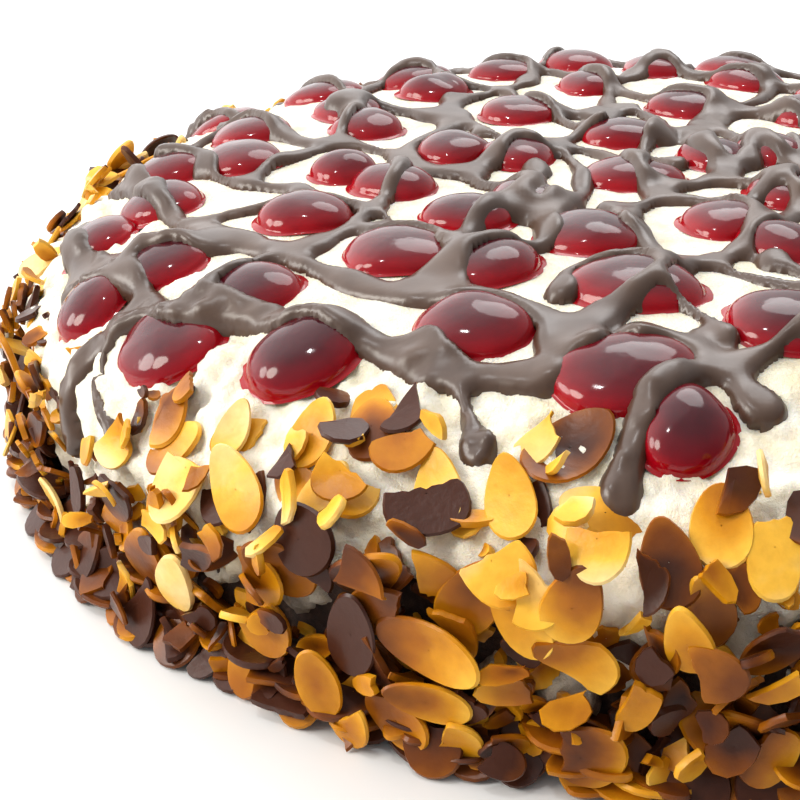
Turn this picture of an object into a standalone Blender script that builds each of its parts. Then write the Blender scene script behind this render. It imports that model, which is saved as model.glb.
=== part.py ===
"""A whole round cream cake: a dark sponge layer under white cream, jellied cherries on
top under a lattice of poured chocolate, and flaked almonds pressed all round its side.

Metres, +Z up. The cake stands on z = 0 with its axis on the origin.
"""
import math
import random

import bmesh
import bpy
from mathutils import Vector

MM = 0.001

# Driving dimensions of the cake
CAKE_RADIUS = 0.128
TOP_HEIGHT = 0.0500
SHOULDER_HEIGHT = 0.030
SHOULDER_START = 0.55
SHOULDER_POWER = 2.6
SPONGE_HEIGHT = 0.024
SPONGE_INSET = 0.0015
OUTER_RADIUS = 0.1365
SIDE_UNEVENNESS = 0.0005
# Waves of that unevenness: share, waves round the cake, phase, turn per metre of height
SIDE_WAVES = ((0.5, 5, 1.3, 60.0), (0.3, 11, 0.4, 0.0), (0.2, 17, 0.0, -90.0))
GAP = 0.0003

# Cherries: those along the near edge are placed, the others fill a loose hexagonal grid
# Each placed cherry is x, y, half width and half length in millimetres, then its turn in degrees
PLACED_CHERRIES = (
    (-23, -94, 10.5, 8.5, 10),
    (-14, -108, 7.0, 6.5, 70),
    (-43, -82, 9.0, 8.0, 0),
    (-68, -82, 9.0, 8.0, 20),
    (-94, -71, 9.5, 7.5, -35),
    (-76, -62, 9.0, 8.0, 15),
    (-110, -49, 7.5, 6.5, -60),
    (-93, -44, 8.5, 8.0, -40),
    (-17, -70, 11.0, 9.5, 10),
    (-37, -61, 9.0, 9.0, 0),
    (-57, -53, 9.5, 9.0, 60),
    (-21, -46, 9.0, 9.5, 0),
    (-71, -35, 8.5, 8.0, 20),
    (4, -84, 9.5, 8.5, 0),
    (-29, -27, 7.5, 8.0, 0),
    (2, -37, 8.0, 8.0, 0),
    (-53, -19, 8.5, 8.0, 60),
    (-9, -12, 10.0, 8.5, 10),
    (-96, -15, 9.0, 7.5, -50),
    (-67, -7, 7.0, 7.0, 0),
    (-45, 7, 8.0, 8.5, 0),
    (-28, 1, 7.5, 8.0, 0),
    (8, 1, 7.5, 8.0, 0),
    (24, 5, 7.5, 8.5, 0),
    (-84, 2, 8.5, 9.0, 0),
    (19, -23, 8.0, 8.5, 0),
    (-60, 21, 8.0, 8.5, 0),
    (-6, 17, 9.5, 8.5, 0),
    (12, -53, 7.5, 7.5, 0),
    (-115, -24, 8.0, 7.0, -80),
    (-86, 24, 8.5, 8.5, 0),
    (-67, 42, 8.0, 8.0, 0),
    (-27, 37, 9.0, 8.5, 10),
    (12, 42, 9.5, 8.5, 0),
    (-8, 63, 8.0, 8.0, 0),
    (-45, 55, 8.5, 8.0, 0),
    (35, 36, 8.0, 8.5, 0),
    (-28, 79, 9.0, 8.5, 0),
    (11, 82, 8.5, 8.5, 0),
)
CHERRY_PITCH = 0.0246
CHERRY_JITTER = 0.0022
CHERRY_GRID_TURN = 24.0
CHERRY_GRID_SHIFT = (0.004, 0.007)
CHERRY_FIELD_RADIUS = 0.113
CHERRY_HALF_WIDTHS = (0.0090, 0.0106)
CHERRY_LENGTH_SHARES = (0.86, 1.04)
CHERRY_SMALLEST_SHARE = 0.85
CHERRY_HEIGHT = 0.0047
CHERRY_FULLNESS = 0.45
CHERRY_UPPER_SHARE = 0.70
CHERRY_UPPER_HEIGHT = 0.0035
CHERRY_CLEARANCE = 0.0012
CHERRY_SIDES = 7
CHERRY_NODES = 56
PAIR_CLOSENESS = 0.86
CHERRY_SEED = 7

# Poured chocolate over the near left of the top: how wide each strand is against the others,
# then its corners in millimetres
PLACED_STRANDS = (
    (1.30, ((-109, 3), (-103, -10), (-98, -22), (-93, -32), (-87, -38), (-80, -45), (-73, -53), (-65, -62),
            (-58, -68), (-50, -72), (-43, -73), (-37, -76), (-32, -82), (-28, -88))),
    (1.35, ((-118, -10), (-114, -27), (-110, -38), (-102, -45), (-97, -54), (-92, -63), (-83, -68),
            (-73, -74), (-63, -79), (-55, -86), (-47, -92), (-40, -94), (-34, -95))),
    (1.00, ((-47, -91), (-45, -97), (-44, -102), (-43, -106))),
    (0.95, ((-98, -58), (-106, -60), (-111, -62), (-115, -64))),
    (1.15, ((-111, -33), (-102, -38), (-95, -42), (-86, -44))),
    (0.90, ((-101, 7), (-93, 1), (-90, -8), (-82, -16), (-73, -20), (-67, -27), (-60, -33))),
    (1.05, ((-66, 12), (-57, 5), (-54, -6), (-54, -17), (-57, -27), (-60, -35), (-63, -43), (-69, -50))),
    (0.80, ((-58, -30), (-56, -37), (-56, -43))),
    (1.00, ((-58, -44), (-51, -47), (-46, -52), (-45, -59), (-50, -66), (-52, -71))),
    (1.05, ((-27, -8), (-28, -19), (-31, -29), (-38, -38), (-43, -47), (-46, -54))),
    (0.85, ((-40, -9), (-39, -15), (-34, -22), (-29, -24))),
    (1.25, ((-42, 48), (-42, 36), (-44, 24), (-49, 14), (-53, 5), (-51, -3), (-46, -8), (-40, -9))),
    (1.00, ((-42, 34), (-36, 23), (-30, 12), (-32, 3), (-38, -5), (-43, -9))),
    (0.90, ((-27, 17), (-22, 10), (-20, 3), (-19, -4), (-19, -14), (-20, -24), (-25, -33))),
    (1.00, ((-21, 10), (-12, 3), (-9, -6), (-8, -17), (-8, -29), (-15, -33))),
    (1.00, ((-24, -30), (-28, -40), (-29, -50), (-35, -55), (-41, -59), (-45, -65), (-45, -73))),
    (0.90, ((-16, -31), (-14, -41), (-12, -50), (-12, -58), (-19, -63), (-27, -66), (-29, -73))),
    (1.00, ((20, -30), (13, -40), (7, -47), (2, -55), (-5, -60), (-13, -61))),
    (0.80, ((-3, -60), (3, -67), (11, -72))),
    (1.10, ((-12, -61), (-13, -70), (-18, -77), (-26, -83), (-31, -88))),
    (1.05, ((18, -76), (8, -86), (-1, -92), (-8, -96), (-14, -98), (-20, -103), (-24, -112))),
    (1.05, ((-18, -87), (-12, -91), (-8, -97), (-4, -103))),
    (0.90, ((16, -3), (8, -13), (-1, -20), (-8, -28), (-13, -37))),
    (1.00, ((-5, -26), (3, -29), (8, -35), (10, -43))),
    (1.10, ((21, 38), (14, 24), (9, 13), (7, 3), (10, -8))),
    (0.90, ((14, 24), (18, 14), (17, 4), (16, -4))),
    (1.10, ((-2, 40), (-8, 30), (-13, 21), (-20, 12), (-27, 5))),
    (1.00, ((-2, 40), (3, 30), (3, 20), (-2, 11), (-4, 2), (1, -4))),
    (0.90, ((-22, 47), (-20, 36), (-16, 26), (-12, 21))),
    (1.00, ((-62, 46), (-63, 34), (-66, 22), (-68, 12), (-74, 4), (-80, -4), (-83, -14))),
    (1.00, ((-94, 42), (-87, 30), (-80, 20), (-73, 12), (-66, 12))),
    (0.95, ((-112, 6), (-104, 18), (-96, 27), (-87, 30))),
)
PLACED_EDGE = (0.012, 0.040)
PLACED_OVERLAP = 0.005
PIECE_SHORTEST = 0.012

# Elsewhere two crossing families of strands drape over cream and cherries
STRAND_TURNS = (62.0, 135.0)
STRAND_PITCH = 0.0255
STRAND_SHIFTS = (0.002, 0.009)
STRAND_WIDTH = 0.0052
STRAND_THICKNESS = 0.0020
STRAND_ROOT = 0.0020
STRAND_CROWN = 0.6
STRAND_SAMPLE = 0.0015
STRAND_STEP = 0.0105
STRAND_SHORTEST = 0.0052
STRAND_CLEARANCE = 0.0005
STRAND_STRAY = 0.0030
STRAND_FIELD_SHARE = 0.80
STRAND_WAVE = 0.0032
STRAND_WAVE_LENGTH = 0.061
STRAND_PULL = 0.55
STRAND_PULL_REACH = 0.013
STRAND_PULL_BACK = 0.003
BANDS_PER_CHERRY = 1
BAND_INSIDE = 0.94
STRAND_REACH = (0.86, 0.97)
DRIP_REACH = (1.015, 1.035)
DRIP_EVERY = 4
STRAND_SEED = 19

# Flaked almonds: centre height, how many round the cake, roll of the long axis from upright,
# lean of the upper end outwards, all angles in degrees
FLAKE_LENGTHS = (0.0135, 0.0175)
FLAKE_WIDTH_SHARES = (0.54, 0.66)
FLAKE_THICKNESS = 0.0011
FLAKE_SIDES = 5
FLAKE_TAPER = 0.25
FLAKE_ROOT = 0.0016
SPONGE_FLAKE_ROWS = ((0.0080, 24, 80.0, 26.0), (0.0160, 30, 55.0, 16.0))
# How far flakes stray from their row: share of their spacing, height, roll and lean
FLAKE_STRAY = (0.35, 0.0015, 22.0, 9.0)
FLAKE_MARGIN = 0.0004
CREAM_FLAKE_ROWS = ((0.0305, 36, 25.0, 12.0), (0.0335, 28, 30.0, -24.0))
PILE_FLAKES = 40
PILE_WIDEST = 4
PILE_STRAY = 0.3
PILE_ROLL = 70.0
PILE_LEAN = 52.0
PILE_LEAN_STRAY = (-26.0, 3.0)
PILE_DEPTH = 0.0015
FLAKE_SEED = 31

CORE_SEGMENTS = 40
CREAM_RINGS = (0.30, 0.55, 0.70, 0.82, 0.91, 0.97, 1.0)
CLEAR_HEIGHT = 0.090


def clear_scene():
    for item in list(bpy.data.objects):
        bpy.data.objects.remove(item, do_unlink=True)


def principled(name, colour, roughness, coat=0.0):
    material = bpy.data.materials.new(name)
    material.use_nodes = True
    shader = material.node_tree.nodes["Principled BSDF"]
    shader.inputs["Base Color"].default_value = (*colour, 1.0)
    shader.inputs["Roughness"].default_value = roughness
    shader.inputs["Metallic"].default_value = 0.0
    shader.inputs["Coat Weight"].default_value = coat
    return material


def object_from(bm, name, material=None):
    mesh = bpy.data.meshes.new(name)
    bmesh.ops.recalc_face_normals(bm, faces=bm.faces)
    bm.to_mesh(mesh)
    bm.free()
    item = bpy.data.objects.new(name, mesh)
    bpy.context.scene.collection.objects.link(item)
    if material:
        mesh.materials.append(material)
    return item


# Surface of the cream

def top_height(radius):
    """Height of the domed top at a distance from the axis."""
    fall = (radius / CAKE_RADIUS - SHOULDER_START) / (1.0 - SHOULDER_START)
    fall = min(max(fall, 0.0), 1.0)
    return TOP_HEIGHT - (TOP_HEIGHT - SHOULDER_HEIGHT) * fall ** SHOULDER_POWER


def shoulder_radius(height):
    """Distance from the axis at which the cream's skin has a height."""
    if height <= SHOULDER_HEIGHT:
        return CAKE_RADIUS
    fall = ((TOP_HEIGHT - height) / (TOP_HEIGHT - SHOULDER_HEIGHT)) ** (1.0 / SHOULDER_POWER)
    return CAKE_RADIUS * (SHOULDER_START + (1.0 - SHOULDER_START) * fall)


def skin(x, y):
    """Point and normal on the cream. Beyond the radius the way goes on down the side."""
    radius = max(math.hypot(x, y), 1e-9)
    outward = Vector((x / radius, y / radius, 0.0))
    if radius > CAKE_RADIUS:
        point = outward * CAKE_RADIUS
        point.z = SHOULDER_HEIGHT - (radius - CAKE_RADIUS)
        return point, outward
    step = 0.0005
    slope = (top_height(radius + step) - top_height(radius - step)) / (2.0 * step)
    normal = Vector((0.0, 0.0, 1.0)) - outward * slope
    return Vector((x, y, top_height(radius))), normal.normalized()


def side_wave(angle, height):
    """Unevenness of the cream's side, as a share from -1 to 1."""
    total = 0.0
    for share, count, phase, rise in SIDE_WAVES:
        total += share * math.sin(count * angle + phase + rise * height)
    return total


def turned(profile, name, material, unevenness):
    """Closed solid turned about Z from (radius, height) pairs that run from top axis to bottom axis.

    Only its side is uneven, so that the cherries stand clear of the smooth top.
    """
    bm = bmesh.new()
    first = bm.verts.new((0.0, 0.0, profile[0][1]))
    last = bm.verts.new((0.0, 0.0, profile[-1][1]))
    rings = []
    for radius, height in profile[1:-1]:
        ring = []
        for index in range(CORE_SEGMENTS):
            angle = 2.0 * math.pi * index / CORE_SEGMENTS
            at = radius
            if height <= SHOULDER_HEIGHT:
                at += unevenness * side_wave(angle, height)
            ring.append(bm.verts.new((at * math.cos(angle), at * math.sin(angle), height)))
        rings.append(ring)
    for index in range(CORE_SEGMENTS):
        after = (index + 1) % CORE_SEGMENTS
        bm.faces.new((first, rings[0][index], rings[0][after]))
        for upper, lower in zip(rings, rings[1:]):
            bm.faces.new((upper[index], lower[index], lower[after], upper[after]))
        bm.faces.new((last, rings[-1][after], rings[-1][index]))
    return object_from(bm, name, material)


# Cherries

def cherry_layout():
    """All cherries as dicts of place, half axes and turn."""
    draw = random.Random(CHERRY_SEED)
    cherries = []
    for x, y, half_width, half_length, turn in PLACED_CHERRIES:
        cherries.append({
            "x": x * MM, "y": y * MM, "a": half_width * MM, "b": half_length * MM,
            "turn": math.radians(turn),
        })
    turn = math.radians(CHERRY_GRID_TURN)
    row_pitch = CHERRY_PITCH * math.sqrt(3.0) / 2.0
    reach = int(CHERRY_FIELD_RADIUS / row_pitch) + 2
    for row in range(-reach, reach + 1):
        for column in range(-reach, reach + 1):
            u = (column + 0.5 * (row % 2)) * CHERRY_PITCH + draw.uniform(-1.0, 1.0) * CHERRY_JITTER
            v = row * row_pitch + draw.uniform(-1.0, 1.0) * CHERRY_JITTER
            x = u * math.cos(turn) - v * math.sin(turn) + CHERRY_GRID_SHIFT[0]
            y = u * math.sin(turn) + v * math.cos(turn) + CHERRY_GRID_SHIFT[1]
            a = draw.uniform(*CHERRY_HALF_WIDTHS)
            b = a * draw.uniform(*CHERRY_LENGTH_SHARES)
            own_turn = draw.uniform(0.0, math.pi)
            if math.hypot(x, y) > CHERRY_FIELD_RADIUS:
                continue
            room = min(math.hypot(x - c["x"], y - c["y"]) - max(c["a"], c["b"]) for c in cherries)
            room -= CHERRY_CLEARANCE
            if room < CHERRY_SMALLEST_SHARE * CHERRY_HALF_WIDTHS[0]:
                continue
            shrink = min(1.0, room / max(a, b))
            cherries.append({"x": x, "y": y, "a": a * shrink, "b": b * shrink, "turn": own_turn})
    return cherries


def pair_up(cherries):
    """Indices of cherries by solid. The nearest ones slide together and share their glaze."""
    pairs = [(0.0, 0, 1)]
    for i in range(2, len(cherries)):
        for j in range(i + 1, len(cherries)):
            one, other = cherries[i], cherries[j]
            apart = math.hypot(one["x"] - other["x"], one["y"] - other["y"])
            pairs.append((apart, i, j))
    pairs.sort()
    taken = set()
    groups = []
    for _, i, j in pairs:
        if len(cherries) - len(groups) <= CHERRY_NODES:
            break
        if i not in taken and j not in taken:
            groups.append((i, j))
            taken.update((i, j))
            slide_together(cherries[i], cherries[j])
    singles = [(i,) for i in range(len(cherries)) if i not in taken]
    return sorted(groups + singles)


def slide_together(one, other):
    """Move two cherries towards each other until they run into one another."""
    dx, dy = other["x"] - one["x"], other["y"] - one["y"]
    apart = math.hypot(dx, dy)
    wanted = PAIR_CLOSENESS * (min(one["a"], one["b"]) + min(other["a"], other["b"]))
    share = 0.5 * (1.0 - min(wanted / apart, 1.0))
    for cherry, sign in ((one, 1.0), (other, -1.0)):
        cherry["x"] += sign * share * dx
        cherry["y"] += sign * share * dy


def outline(cherry, share=1.0):
    """Corners of a cherry's outline in plan."""
    corners = []
    cos_turn, sin_turn = math.cos(cherry["turn"]), math.sin(cherry["turn"])
    for index in range(CHERRY_SIDES):
        angle = 2.0 * math.pi * (index + 0.5) / CHERRY_SIDES
        u = cherry["a"] * share * math.cos(angle)
        v = cherry["b"] * share * math.sin(angle)
        corners.append((cherry["x"] + u * cos_turn - v * sin_turn, cherry["y"] + u * sin_turn + v * cos_turn))
    return corners


def seat_height(cherry, x, y):
    """Height at a point of the plane that touches the cream under a cherry."""
    point, normal = skin(cherry["x"], cherry["y"])
    return point.z - ((x - cherry["x"]) * normal.x + (y - cherry["y"]) * normal.y) / normal.z


def dome(cherry, name, material=None):
    """Low dome that stands clear of the cream by the gap."""
    bm = bmesh.new()
    base, upper = [], []
    for x, y in outline(cherry):
        base.append(bm.verts.new((x, y, seat_height(cherry, x, y) + GAP)))
    for x, y in outline(cherry, CHERRY_UPPER_SHARE):
        upper.append(bm.verts.new((x, y, seat_height(cherry, x, y) + GAP + CHERRY_UPPER_HEIGHT)))
    crown_z = seat_height(cherry, cherry["x"], cherry["y"]) + GAP + CHERRY_HEIGHT
    crown = bm.verts.new((cherry["x"], cherry["y"], crown_z))
    bm.faces.new(base)
    for index in range(CHERRY_SIDES):
        after = (index + 1) % CHERRY_SIDES
        bm.faces.new((base[index], base[after], upper[after], upper[index]))
        bm.faces.new((upper[index], upper[after], crown))
    return object_from(bm, name, material)


# Poured chocolate

def ellipse_value(cherry, x, y, grow=0.0):
    """Below 1 inside a cherry's outline, above 1 outside."""
    dx, dy = x - cherry["x"], y - cherry["y"]
    u = (dx * math.cos(cherry["turn"]) + dy * math.sin(cherry["turn"])) / (cherry["a"] + grow)
    v = (-dx * math.sin(cherry["turn"]) + dy * math.cos(cherry["turn"])) / (cherry["b"] + grow)
    return u * u + v * v


def drape_height(cherries, x, y):
    """How far the cherries lift the chocolate above the cream."""
    inside = max(1.0 - ellipse_value(cherry, x, y) for cherry in cherries)
    return CHERRY_HEIGHT * max(inside, 0.0) ** CHERRY_FULLNESS


def smooth_route(corners):
    """Points at the sampling step along a curve through all corners."""
    ends = [corners[0] * 2.0 - corners[1], *corners, corners[-1] * 2.0 - corners[-2]]
    route = []
    for a, b, c, d in zip(ends, ends[1:], ends[2:], ends[3:]):
        count = max(1, round((c - b).length / STRAND_SAMPLE))
        for step in range(count):
            t = step / count
            route.append(0.5 * (
                2.0 * b + (c - a) * t + (2.0 * a - 5.0 * b + 4.0 * c - d) * t ** 2
                + (3.0 * b - a - 3.0 * c + d) * t ** 3
            ))
    return route + [corners[-1]]


def outside_placed(path):
    """Pieces of a route that lie outside the area of the placed strands, or just inside it."""
    limits = [edge - PLACED_OVERLAP for edge in PLACED_EDGE]
    pieces = [[]]
    for point in path:
        if point.x > limits[0] or point.y > limits[1]:
            pieces[-1].append(point)
        elif pieces[-1]:
            pieces.append([])
    return [piece for piece in pieces if len(piece) * STRAND_SAMPLE > PIECE_SHORTEST]


def strand_paths(cherries):
    """Widths and plan routes of the strands. The loose ones are pulled over cherries that they pass."""
    draw = random.Random(STRAND_SEED)
    paths = [
        (share * STRAND_WIDTH, smooth_route([Vector(corner) * MM for corner in corners]))
        for share, corners in PLACED_STRANDS
    ]
    reach = int(CAKE_RADIUS / STRAND_PITCH) + 1
    for turn, shift in zip(STRAND_TURNS, STRAND_SHIFTS):
        along = Vector((math.cos(math.radians(turn)), math.sin(math.radians(turn))))
        across = Vector((-along.y, along.x))
        for index in range(-reach, reach + 1):
            offset = index * STRAND_PITCH + shift + draw.uniform(-STRAND_STRAY, STRAND_STRAY)
            phase = draw.uniform(0.0, 2.0 * math.pi)
            drips = index % DRIP_EVERY == 1
            ends = [draw.uniform(*(DRIP_REACH if drips else STRAND_REACH)) * CAKE_RADIUS for _ in range(2)]
            if abs(offset) > STRAND_FIELD_SHARE * CAKE_RADIUS:
                continue
            start = -math.sqrt(ends[0] ** 2 - offset ** 2)
            end = math.sqrt(ends[1] ** 2 - offset ** 2)
            count = round((end - start) / STRAND_SAMPLE)
            path = []
            for step in range(count + 1):
                way = start + (end - start) * step / count
                wave = STRAND_WAVE * math.sin(2.0 * math.pi * way / STRAND_WAVE_LENGTH + phase)
                point = along * way + across * (offset + wave)
                path.append(pulled(point, cherries))
            paths += [(STRAND_WIDTH, piece) for piece in outside_placed(path)]
    return paths


def pulled(point, cherries):
    """Move a route's point part of the way onto the far side of a cherry that is near."""
    goals = [Vector((cherry["x"], cherry["y"] + STRAND_PULL_BACK)) for cherry in cherries]
    goal = min(goals, key=lambda place: (place - point).length)
    pull = STRAND_PULL * max(0.0, 1.0 - (goal - point).length / STRAND_PULL_REACH)
    return point.lerp(goal, pull)


def runs_of(width, path, cherries):
    """Stretches of a route by what carries them: a cherry's index, or None for the cream."""
    runs = []
    last = "edge"
    for index, point in enumerate(path):
        ahead = path[min(index + 1, len(path) - 1)] - path[max(index - 1, 0)]
        side = Vector((-ahead.y, ahead.x)).normalized() * 0.5 * width
        spots = (point - side, point, point + side)
        owner = "edge"
        if all(ellipse_value(c, s.x, s.y, STRAND_CLEARANCE) > 1.0 for c in cherries for s in spots):
            owner = None
        for number, cherry in enumerate(cherries):
            if all(ellipse_value(cherry, s.x, s.y) < BAND_INSIDE for s in spots):
                owner = number
        if owner != last and owner != "edge":
            runs.append((owner, []))
        if owner != "edge":
            runs[-1][1].append((point, side))
        last = owner
    return [run for run in runs if len(run[1]) * STRAND_SAMPLE > STRAND_SHORTEST]


def strand(run, cherries, name):
    """Bar with sloping sides along a stretch, rooted in what carries it."""
    owner, spots = run
    count = max(1, round(len(spots) * STRAND_SAMPLE / STRAND_STEP))
    if owner is not None:
        count = max(2, count)
    bm = bmesh.new()
    rings = []
    for step in range(count + 1):
        point, side = spots[round((len(spots) - 1) * step / count)]
        base, normal = skin(point.x, point.y)
        root = -STRAND_ROOT
        if owner is not None:
            seat = cherries[owner]
            base.z = seat_height(seat, point.x, point.y)
            normal = skin(seat["x"], seat["y"])[1]
            root = 2.0 * GAP
        top = drape_height(cherries, point.x, point.y) + STRAND_THICKNESS
        across = Vector((side.x, side.y, 0.0))
        across -= normal * across.dot(normal)
        corners = ((-1.0, root), (-STRAND_CROWN, top), (STRAND_CROWN, top), (1.0, root))
        rings.append([bm.verts.new(base + across * share + normal * out) for share, out in corners])
    bm.faces.new(rings[0])
    bm.faces.new(rings[-1])
    for before, after in zip(rings, rings[1:]):
        for index in range(4):
            following = (index + 1) % 4
            bm.faces.new((before[index], before[following], after[following], after[index]))
    return object_from(bm, name)


# Flaked almonds

def flake(centre, long_axis, wide_axis, length, width, name):
    """Thin teardrop plate."""
    bm = bmesh.new()
    face_axis = long_axis.cross(wide_axis).normalized()
    rings = []
    for offset in (-0.5 * FLAKE_THICKNESS, 0.5 * FLAKE_THICKNESS):
        ring = []
        for index in range(FLAKE_SIDES):
            angle = 2.0 * math.pi * index / FLAKE_SIDES
            u = 0.5 * length * math.cos(angle)
            v = 0.5 * width * math.sin(angle) * (1.0 - FLAKE_TAPER * math.cos(angle))
            ring.append(bm.verts.new(centre + long_axis * u + wide_axis * v + face_axis * offset))
        rings.append(ring)
    bm.faces.new(rings[0])
    bm.faces.new(rings[1])
    for index in range(FLAKE_SIDES):
        after = (index + 1) % FLAKE_SIDES
        bm.faces.new((rings[0][index], rings[0][after], rings[1][after], rings[1][index]))
    return object_from(bm, name)


def side_flake(angle, height, roll, lean, wall_radius, limits, draw, name, reach=None):
    """Flake that leans off the side, one edge rooted in it, kept between two heights."""
    outward = Vector((math.cos(angle), math.sin(angle), 0.0))
    tangent = Vector((-outward.y, outward.x, 0.0))
    up = Vector((0.0, 0.0, 1.0))
    length = draw.uniform(*FLAKE_LENGTHS)
    width = length * draw.uniform(*FLAKE_WIDTH_SHARES)
    steep = up * math.cos(lean) + outward * math.sin(lean)
    long_axis = steep * math.cos(roll) + tangent * math.sin(roll)
    wide_axis = tangent * math.cos(roll) - steep * math.sin(roll)
    item = flake(Vector((0.0, 0.0, 0.0)), long_axis, wide_axis, length, width, name)
    depths = [outward.dot(vertex.co) for vertex in item.data.vertices]
    heights = [vertex.co.z for vertex in item.data.vertices]
    out = wall_radius - FLAKE_ROOT - min(depths)
    if reach is not None:
        out = reach - max(depths)
    rise = min(max(height, limits[0] - min(heights)), limits[1] - max(heights))
    for vertex in item.data.vertices:
        vertex.co += outward * out + up * rise
    return item


def flake_row(row, wall_radius_at, limits, draw, name):
    height, count, roll, lean = row
    along, rise, roll_stray, lean_stray = FLAKE_STRAY
    items = []
    for index in range(count):
        angle = 2.0 * math.pi * (index + draw.uniform(-along, along)) / count
        items.append(side_flake(
            angle,
            height + draw.uniform(-rise, rise),
            math.radians(roll * draw.choice((-1.0, 1.0)) + draw.uniform(-roll_stray, roll_stray)),
            math.radians(lean + draw.uniform(-lean_stray, lean_stray)),
            wall_radius_at(height),
            limits, draw, f"{name}_{index}",
        ))
    return items


def clear_of_cherries(flakes, cherries):
    """Keep the flakes that touch no cherry, and remove the others."""
    kept = []
    for item in flakes:
        corners = [vertex.co for vertex in item.data.vertices]
        if all(ellipse_value(c, v.x, v.y, STRAND_CLEARANCE) > 1.0 for c in cherries for v in corners):
            kept.append(item)
        else:
            bpy.data.objects.remove(item, do_unlink=True)
    return kept


def pile_row(draw):
    """Flakes that lie against the foot of the cake. Four of them reach its full width."""
    items = []
    for index in range(PILE_FLAKES):
        widest = index % (PILE_FLAKES // PILE_WIDEST) == 0
        stray = 0.0 if widest else draw.uniform(-PILE_STRAY, PILE_STRAY)
        roll = 0.0 if widest else math.radians(draw.uniform(-PILE_ROLL, PILE_ROLL))
        items.append(side_flake(
            2.0 * math.pi * (index + stray) / PILE_FLAKES,
            0.0, roll,
            -math.radians(PILE_LEAN + (0.0 if widest else draw.uniform(*PILE_LEAN_STRAY))),
            CAKE_RADIUS - SPONGE_INSET - PILE_DEPTH * draw.random(),
            (FLAKE_MARGIN, SPONGE_HEIGHT - FLAKE_MARGIN), draw, f"pile_{index}",
            OUTER_RADIUS if widest else None,
        ))
    return items


# Joining

def join(target, tools):
    """Unite closed shapes with a target, then remove them.

    The exact solver loses some of the cherries, whose small parts nearly touch.
    """
    group = bpy.data.collections.new("tools")
    bpy.context.scene.collection.children.link(group)
    for tool in tools:
        for owner in list(tool.users_collection):
            owner.objects.unlink(tool)
        group.objects.link(tool)
    modifier = target.modifiers.new("join", "BOOLEAN")
    modifier.operation = "UNION"
    modifier.operand_type = "COLLECTION"
    modifier.collection = group
    modifier.solver = "MANIFOLD"
    graph = bpy.context.evaluated_depsgraph_get()
    mesh = bpy.data.meshes.new_from_object(target.evaluated_get(graph))
    target.modifiers.clear()
    target.data = mesh
    for tool in list(group.objects):
        bpy.data.objects.remove(tool, do_unlink=True)
    bpy.data.collections.remove(group)


def tidy(item, material):
    """Drop loose scraps and leave one closed body with one material."""
    bm = bmesh.new()
    bm.from_mesh(item.data)
    bmesh.ops.triangulate(bm, faces=bm.faces)
    unseen = set(bm.verts)
    bodies = []
    while unseen:
        body, open_ends = set(), [unseen.pop()]
        while open_ends:
            vertex = open_ends.pop()
            body.add(vertex)
            for edge in vertex.link_edges:
                other = edge.other_vert(vertex)
                if other in unseen:
                    unseen.discard(other)
                    open_ends.append(other)
        bodies.append(body)
    bodies.sort(key=len)
    for body in bodies[:-1]:
        bmesh.ops.delete(bm, geom=list(body), context="VERTS")
    bm.to_mesh(item.data)
    bm.free()
    item.data.materials.clear()
    item.data.materials.append(material)
    for polygon in item.data.polygons:
        polygon.material_index = 0


def main():
    clear_scene()
    sponge_look = principled("sponge", (0.050, 0.026, 0.017), 0.85)
    cream_look = principled("cream", (0.93, 0.89, 0.79), 0.55)
    cherry_look = principled("cherry", (0.40, 0.006, 0.016), 0.12, 1.0)

    cherries = cherry_layout()
    groups = pair_up(cherries)
    runs = [run for width, path in strand_paths(cherries) for run in runs_of(width, path, cherries)]
    for number, group in enumerate(groups, start=1):
        members = [cherries[index] for index in group]
        node = dome(members[0], f"cherry_{number:02d}")
        parts = [dome(member, "dome") for member in members[1:]]
        for index in group:
            own = sorted((run for run in runs if run[0] == index), key=lambda run: len(run[1]))
            parts += [strand(run, cherries, "band") for run in own[-BANDS_PER_CHERRY:]]
        if parts:
            join(node, parts)
        tidy(node, cherry_look)

    draw = random.Random(FLAKE_SEED)
    sponge_radius = CAKE_RADIUS - SPONGE_INSET
    sponge = turned(
        ((0.0, SPONGE_HEIGHT), (sponge_radius, SPONGE_HEIGHT), (sponge_radius, 0.5 * SPONGE_HEIGHT),
         (sponge_radius - 0.001, 0.0), (0.0, 0.0)),
        "sponge", sponge_look, SIDE_UNEVENNESS,
    )
    sponge_limits = (FLAKE_MARGIN, SPONGE_HEIGHT - FLAKE_MARGIN)
    flakes = pile_row(draw)
    for index, row in enumerate(SPONGE_FLAKE_ROWS):
        flakes += flake_row(row, lambda height: sponge_radius, sponge_limits, draw, f"low_{index}")
    join(sponge, flakes)
    tidy(sponge, sponge_look)

    floor = SPONGE_HEIGHT + GAP
    rings = [(share * CAKE_RADIUS, top_height(share * CAKE_RADIUS)) for share in CREAM_RINGS]
    profile = [(0.0, TOP_HEIGHT)] + rings + [(CAKE_RADIUS, floor), (0.0, floor)]
    cream = turned(profile, "cream", cream_look, SIDE_UNEVENNESS)
    flakes = []
    for index, row in enumerate(CREAM_FLAKE_ROWS):
        flakes += flake_row(row, shoulder_radius, (floor + FLAKE_MARGIN, CLEAR_HEIGHT), draw, f"high_{index}")
    flakes = clear_of_cherries(flakes, cherries)
    bars = [strand(run, cherries, "bar") for run in runs if run[0] is None]
    join(cream, flakes + bars)
    tidy(cream, cream_look)


main()
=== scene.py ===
"""Looks of the cream cake: whipped cream over a dark sponge, jellied cherries, poured
chocolate and flaked almonds, all worked out over one skin of the cake.

Metres, +Z up. A place on the cake is given in plan: up to the side's radius it is the
distance from the axis, and beyond that it goes on down the side.
"""
import random
from math import cos, degrees, hypot, pi, radians, sin, sqrt

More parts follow.
